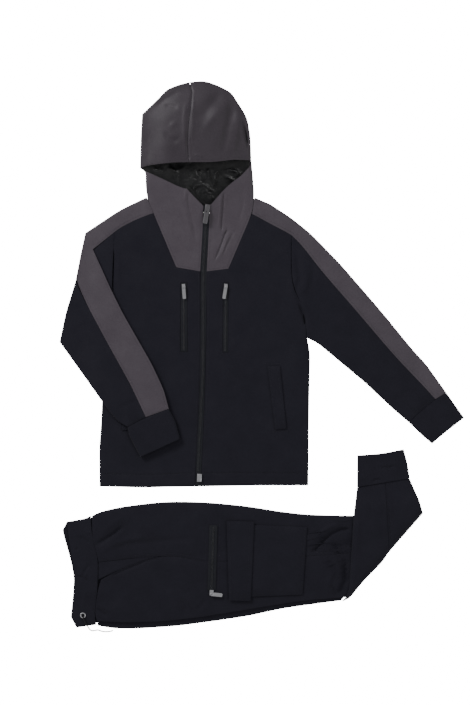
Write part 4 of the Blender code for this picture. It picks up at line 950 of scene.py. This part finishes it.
    def turnings(self) -> tuple[SeamTurnings, ...]:
        """The turned-in edges at the neck, shoulders, armholes, stripes and right wrist."""
        left = ("jacket_yoke_left_cloth", "jacket_front_left_cloth", "sleeve_stripe_left_cloth",
                "sleeve_left_cloth")
        right = ("jacket_yoke_right_cloth", "jacket_front_right_cloth", "sleeve_stripe_right_cloth",
                 "sleeve_right_cloth", "cuff_right_cloth")
        return (
            SeamTurnings("neck_seam_left", ((153.9, 214.5), (147.4, 199)), WOVEN, left),
            SeamTurnings("neck_seam_right", ((251.6, 215), (254.2, 199)), WOVEN, right),
            SeamTurnings("shoulder_seam_left", ((91.6, 250.6), (114.5, 232.4), (120, 228), (140, 218),
                         (154.5, 213)), KNIT, left),
            # The armhole and wrist turnings take the knit coloured darker: painted shade in their grooves.
            SeamTurnings("armhole_seam_left", ((111.9, 291.2), (113, 262), (114.5, 233.2)), TURNED_SHADE, left),
            SeamTurnings("shoulder_seam_right", ((250, 212.8), (270, 223.9), (291.5, 235)), KNIT, right),
            SeamTurnings("armhole_seam_right", ((306.6, 336.5), (304.3, 310), (293.9, 289.3), (291.5, 275.4),
                         (291.5, 236)), TURNED_SHADE, right),
            SeamTurnings("stripe_seam_right", ((291.5, 235), (305.1, 249.4), (322.6, 273.3), (354.5, 308.4),
                         (391.2, 353.1), (420, 382.6), (435.2, 399.3)), KNIT, right),
            SeamTurnings("wrist_seam_right", ((410.2, 421.2), (417.3, 413.9), (435.2, 399.3), (445, 393.2)),
                         TURNED_SHADE,
                         right),
        )

    def build(self) -> None:
        """Builds the jacket's cloths, seams, stitches and zips."""
        for cloth in self.cloths():
            cloth.build()
        for seam in self.turnings():
            seam.build()
        for rows in self.stitching():
            rows.build()
        Coil("main_zip_coil", ((198.0, 471), (203.2, 370), (203.5, 271.6), (205.9, 226), (206.4, 215)),
             "main_zip_tape_cloth").build()
        Coil("chest_zip_left_coil", ((183.9, 350.4), (183.8, 289)), "chest_zip_left_tape_cloth",
             reach=1.6 * MM,
             pitch=1.5 * MM).build()
        Coil("chest_zip_right_coil", ((225.3, 351.2), (225.9, 289)), "chest_zip_right_tape_cloth",
             reach=1.6 * MM,
             pitch=1.5 * MM).build()
        Casting("main_zip_slider", SET_BODY, GUNMETAL, 0.5 * MM).build()
        Casting("main_zip_pull", "main_zip_pull", GUNMETAL, 0.3 * MM, 0.35 * MM).build()
        Casting("main_zip_box", SET_BODY, NICKEL, 0.4 * MM).build()
        for side in ("left", "right"):
            Casting(f"chest_zip_{side}_slider", SET_BODY, NICKEL, 0.4 * MM).build()
            Casting(f"chest_zip_{side}_pull", f"chest_zip_{side}_pull", NICKEL, 0.25 * MM, 0.3 * MM).build()


@dataclass(frozen=True)
class Trousers:
    """The trousers, laid on their side with the shins folded back up."""

    eyelet_at: tuple[float, float] = (83.1, 615.0)
    eyelet_high: float = 10.0 * MM
    eyelet_radius: float = 4.5 * MM
    rim_wide: float = 1.3 * MM
    rim_high: float = 0.75 * MM

    def cloths(self) -> tuple[Cloth, ...]:
        """The trousers' pieces of cloth, from the floor up."""
        on_layers = ("trouser_hidden_layers",)
        return (
            Cloth("trouser_hidden_layers", KNIT, (0.64, 0.25), 0.11981, 2, LEG_FOLDS, above(1.5, 3.8), 0.0),
            Cloth("shin_hidden_layers", KNIT, (0.135, 0.23), 0.01648, 2, loose=0.0, rests_on=on_layers),
            Cloth("trouser_waistband", KNIT, (0.056, 0.44), 0.02214, 3, WAIST_FOLDS, above(6.0, 7.6), 0.35,
                  "folded"),
            Cloth("leg_back_panel", KNIT, (0.64, 0.125), 0.05988, 3, LEG_FOLDS, loose=0.3,
                  rests_on=on_layers),
            Cloth("leg_front_panel", KNIT, (0.59, 0.145), 0.05619, 3, LEG_FOLDS, loose=0.3,
                  rests_on=on_layers),
            Cloth("front_pocket_facing", KNIT, (0.12, 0.04), 0.00196, 2, LEG_FOLDS[:4], loose=0.2,
                  rests_on=on_layers),
            Cloth("shin_back_panel", KNIT, (0.095, 0.24), 0.01437, 3, SHIN_FOLDS, loose=0.25,
                  rests_on=("shin_hidden_layers",)),
            Cloth("shin_front_panel", KNIT, (0.078, 0.15), 0.00814, 3, SHIN_FOLDS, loose=0.25,
                  rests_on=("shin_hidden_layers",)),
            Cloth("leg_cuff_under", RIB_ANKLE, (0.106, 0.13), 0.01233, 2, loose=0.0, held="folded"),
            Cloth("leg_cuff_upper", RIB_ANKLE, (0.106, 0.13), 0.01235, 3, CUFF_FOLDS, above(7.2, 8.6), 0.25,
                  "folded",
                  ("leg_cuff_under",)),
            Cloth("leg_zip_tape", TAPE, (0.018, 0.13), 0.00225, 2, loose=0.0, rests_on=("leg_front_panel",),
                  eased=0.2),
            Cloth("cargo_pocket_bag", KNIT, (0.154, 0.147), 0.02111, 3, LEG_FOLDS[10:14], loose=0.3,
                  rests_on=("leg_front_panel", "leg_back_panel")),
            Cloth("cargo_pocket_flap", KNIT, (0.055, 0.16), 0.00811, 3, loose=0.3,
                  rests_on=("cargo_pocket_bag",)),
        )

    def stitching(self) -> tuple[Stitching, ...]:
        """The trousers' rows of stitches."""
        legs = ("leg_back_panel_cloth", "leg_front_panel_cloth")
        return (
            Stitching("leg_stitches", legs, (
                Seam(((102, 583), (114.6, 574.2), (132.4, 567.2), (147.8, 560.8), (162, 558.4))),
                Seam(((102, 559.4), (139.3, 554.9), (161, 553.6), (177.6, 553.6), (205, 558.4))),
                Seam(((310, 553.4), (329.3, 552.2), (340, 551.6))),
                Seam(((206.2, 524), (204.6, 591.4), (218.2, 598.4), (219.6, 524))),
            ), THREAD),
            Stitching("flap_stitches", ("cargo_pocket_flap_cloth",), (
                Seam(((229.2, 523), (231.2, 598))),
                Seam(((229, 523.2), (251.4, 524))),
                Seam(((249.6, 525.4), (247.8, 594))),
            ), THREAD),
            Stitching("bag_stitches", ("cargo_pocket_bag_cloth",), (
                Seam(((256, 528.6), (304.8, 528.9), (300.6, 592))),
            ), THREAD),
            Stitching("waist_stitches", ("trouser_waistband_cloth",), (
                Seam(((88.6, 521), (90.4, 541.2), (94.8, 554), (95.8, 589.7), (92.6, 613.9))),
            ), THREAD),
            Stitching("shin_stitches", ("shin_back_panel_cloth", "shin_front_panel_cloth"), (
                Seam(((387.6, 486), (388.8, 510), (390.4, 535), (390.8, 547))),
                Seam(((359, 489.4), (385, 485), (408, 481))),
            ), THREAD),
        )

    def eyelet(self) -> None:
        """The pressed eyelet that the drawcord comes out of: a rolled rim round a dark hole."""
        bm = bmesh.new()
        centre = plan(self.eyelet_at, self.eyelet_high)
        rim = bmesh.ops.create_circle(bm, segments=12, radius=1.0)["verts"]
        bmesh.ops.transform(bm, verts=rim,
                            matrix=Matrix.Translation(centre + Vector((self.eyelet_radius, 0, 0)))
                            @ Matrix.Rotation(math.radians(90), 4,
                                              "X") @ Matrix.Diagonal((self.rim_wide, self.rim_high, 1, 1)))
        bmesh.ops.spin(bm, geom=bm.verts[:] + bm.edges[:], cent=centre, axis=(0, 0, 1), angle=2 * math.pi,
                       steps=48,
                       use_merge=True)
        bmesh.ops.recalc_face_normals(bm, faces=bm.faces)
        piece = place_mesh("drawcord_eyelet_rim", bm, NICKEL, SET_BODY)
        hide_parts("drawcord_eyelet")

    def turnings(self) -> tuple[SeamTurnings, ...]:
        """The turned-in edges at the waist and the ankles."""
        waist = ("trouser_waistband_cloth", "leg_back_panel_cloth", "leg_front_panel_cloth",
                 "front_pocket_facing_cloth")
        ankle = ("leg_cuff_upper_cloth", "shin_back_panel_cloth", "shin_front_panel_cloth")
        return (
            # Both take the knit coloured darker: painted shade in their grooves.
            SeamTurnings("waist_seam", ((96.2, 622.5), (94.8, 613.9), (98.0, 589.7), (98.7, 562),
                                        (97.4, 554),
                         (92.9, 541.2), (91.2, 517.5)), TURNED_SHADE, waist),
            SeamTurnings("ankle_seam", ((358, 487.2), (385, 482.6), (408.6, 478.6)), TURNED_SHADE, ankle),
        )

    def build(self) -> None:
        """Builds the trousers' cloths, seams, stitches, zip and eyelet."""
        for cloth in self.cloths():
            cloth.build()
        for seam in self.turnings():
            seam.build()
        for rows in self.stitching():
            rows.build()
        Coil("leg_zip_coil", ((211.6, 588.6), (213.6, 527)), "leg_zip_tape_cloth", reach=1.9 * MM).build()
        Casting("leg_zip_slider", SET_BODY, NICKEL, 0.4 * MM).build()
        Casting("leg_zip_pull", "leg_zip_pull", NICKEL, 0.25 * MM, 0.3 * MM).build()
        self.eyelet()


@dataclass(frozen=True)
class Drawcord:
    """The drawcord: out of the eyelet, over the waist edge and along the floor to its cut end."""

    route: tuple[tuple[float, float, float], ...] = (
        (83.4, 615.4, 11.4), (83.8, 617.7, 13.2), (84.8, 620.6, 12.0), (86.6, 623.6, 10.9),
        (88.4, 626.8, 8.0),
        (89.6, 629.0, 3.4), (91.9, 630.6, 1.6), (94.7, 630.4, 1.6), (98.0, 629.9, 1.6), (101.3, 631.0, 1.6),
        (104.9, 631.6, 1.6), (108.2, 631.5, 1.6), (111.4, 631.0, 1.6), (112.9, 630.2, 1.6),
    )
    radius: float = 1.25 * MM
    steps: int = 3

    def points(self) -> list[Vector]:
        """The smooth line through the route."""
        route = [plan((x, y), z * MM) for x, y, z in self.route]
        guide = [route[0] * 2 - route[1]] + route + [route[-1] * 2 - route[-2]]
        made = []
        for a, b, c, d in zip(guide, guide[1:], guide[2:], guide[3:]):
            for step in range(self.steps):
                t = step / self.steps
                made.append((b * 2 + (c - a) * t + (a * 2 - b * 5 + c * 4 - d) * t * t
                             + (b * 3 - a - c * 3 + d) * t * t * t) * 0.5)
        return made + [route[-1]]

    def build(self) -> None:
        points = self.points()
        curve = bpy.data.curves.new("drawcord_braid", "CURVE")
        curve.dimensions = "3D"
        curve.bevel_depth = self.radius
        curve.bevel_resolution = 4
        curve.use_fill_caps = True
        line = curve.splines.new("POLY")
        line.points.add(len(points) - 1)
        for spot, place in zip(line.points, points):
            spot.co = (*place, 1.0)
        curve.materials.append(BRAID.material())
        cord = bpy.data.objects.new("drawcord_braid", curve)
        bpy.context.scene.collection.objects.link(cord)
        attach(cord, SET_BODY)
        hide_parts("drawcord")


@dataclass(frozen=True)
class Studio:
    """The pale floor, the soft lights and the camera straight above."""

    view_high: float = 705 * PLAN_STEP
    camera_high: float = 6.0
    centre: tuple[float, float] = (235.0, 352.5)
    floor: float = 12.0
    sky: float = 0.4
    glow: float = 16.0

    def camera(self) -> None:
        """A long lens above the set, so that a plan knot is a pixel of the frame."""
        data = bpy.data.cameras.new("camera")
        data.sensor_fit = "VERTICAL"
        data.sensor_height = 24.0
        data.lens = 24.0 * self.camera_high / self.view_high
        data.clip_end = 50.0
        camera = bpy.data.objects.new("camera", data)
        camera.location = plan(self.centre, self.camera_high)
        bpy.context.scene.collection.objects.link(camera)
        bpy.context.scene.camera = camera

    def light(self, name: str, place: tuple[float, float, float], size: float, power: float) -> None:
        """Adds a soft light that faces the set."""
        data = bpy.data.lights.new(name, "AREA")
        data.size = size
        data.energy = power
        lamp = bpy.data.objects.new(name, data)
        lamp.location = place
        lamp.rotation_euler = (-Vector(place)).to_track_quat("-Z", "Y").to_euler()
        bpy.context.scene.collection.objects.link(lamp)

    def build(self) -> None:
        """Builds the floor, the lights and the camera."""
        bm = bmesh.new()
        bmesh.ops.create_grid(bm, x_segments=1, y_segments=1, size=self.floor / 2)
        mesh = bpy.data.meshes.new("floor")
        bm.to_mesh(mesh)
        bm.free()
        paper = bpy.data.materials.new("matt white board")
        paper.use_nodes = True
        shader = paper.node_tree.nodes["Principled BSDF"]
        shader.inputs["Base Color"].default_value = linear("#FAFAFA")
        shader.inputs["Roughness"].default_value = 0.95
        seen = add_node(paper.node_tree, "ShaderNodeLightPath").outputs["Is Camera Ray"]
        glow = add_node(paper.node_tree, "ShaderNodeMath", {0: seen}, {1: self.glow}, operation="MULTIPLY")
        shader.inputs["Emission Color"].default_value = linear("#FFFFFF")
        paper.node_tree.links.new(glow.outputs["Value"], shader.inputs["Emission Strength"])
        mesh.materials.append(paper)
        floor = bpy.data.objects.new("floor", mesh)
        floor.location.z = -0.0003
        bpy.context.scene.collection.objects.link(floor)
        world = bpy.data.worlds.new("studio")
        world.use_nodes = True
        back = world.node_tree.nodes["Background"]
        back.inputs["Color"].default_value = linear("#FFFFFF")
        back.inputs["Strength"].default_value = self.sky
        bpy.context.scene.world = world
        self.light("key", (-2.0, 1.9, 1.5), 0.8, 46.0)
        self.light("fill", (2.0, -0.6, 2.4), 2.0, 14.0)
        self.camera()


def main() -> None:
    """Builds the studio and the set."""
    logging.basicConfig(level=logging.INFO, format="%(name)s: %(message)s")
    Studio().build()
    Drawcord().build()
    LOG.info("jacket")
    Jacket().build()
    LOG.info("trousers")
    Trousers().build()


if __name__ == "__main__":
    main()
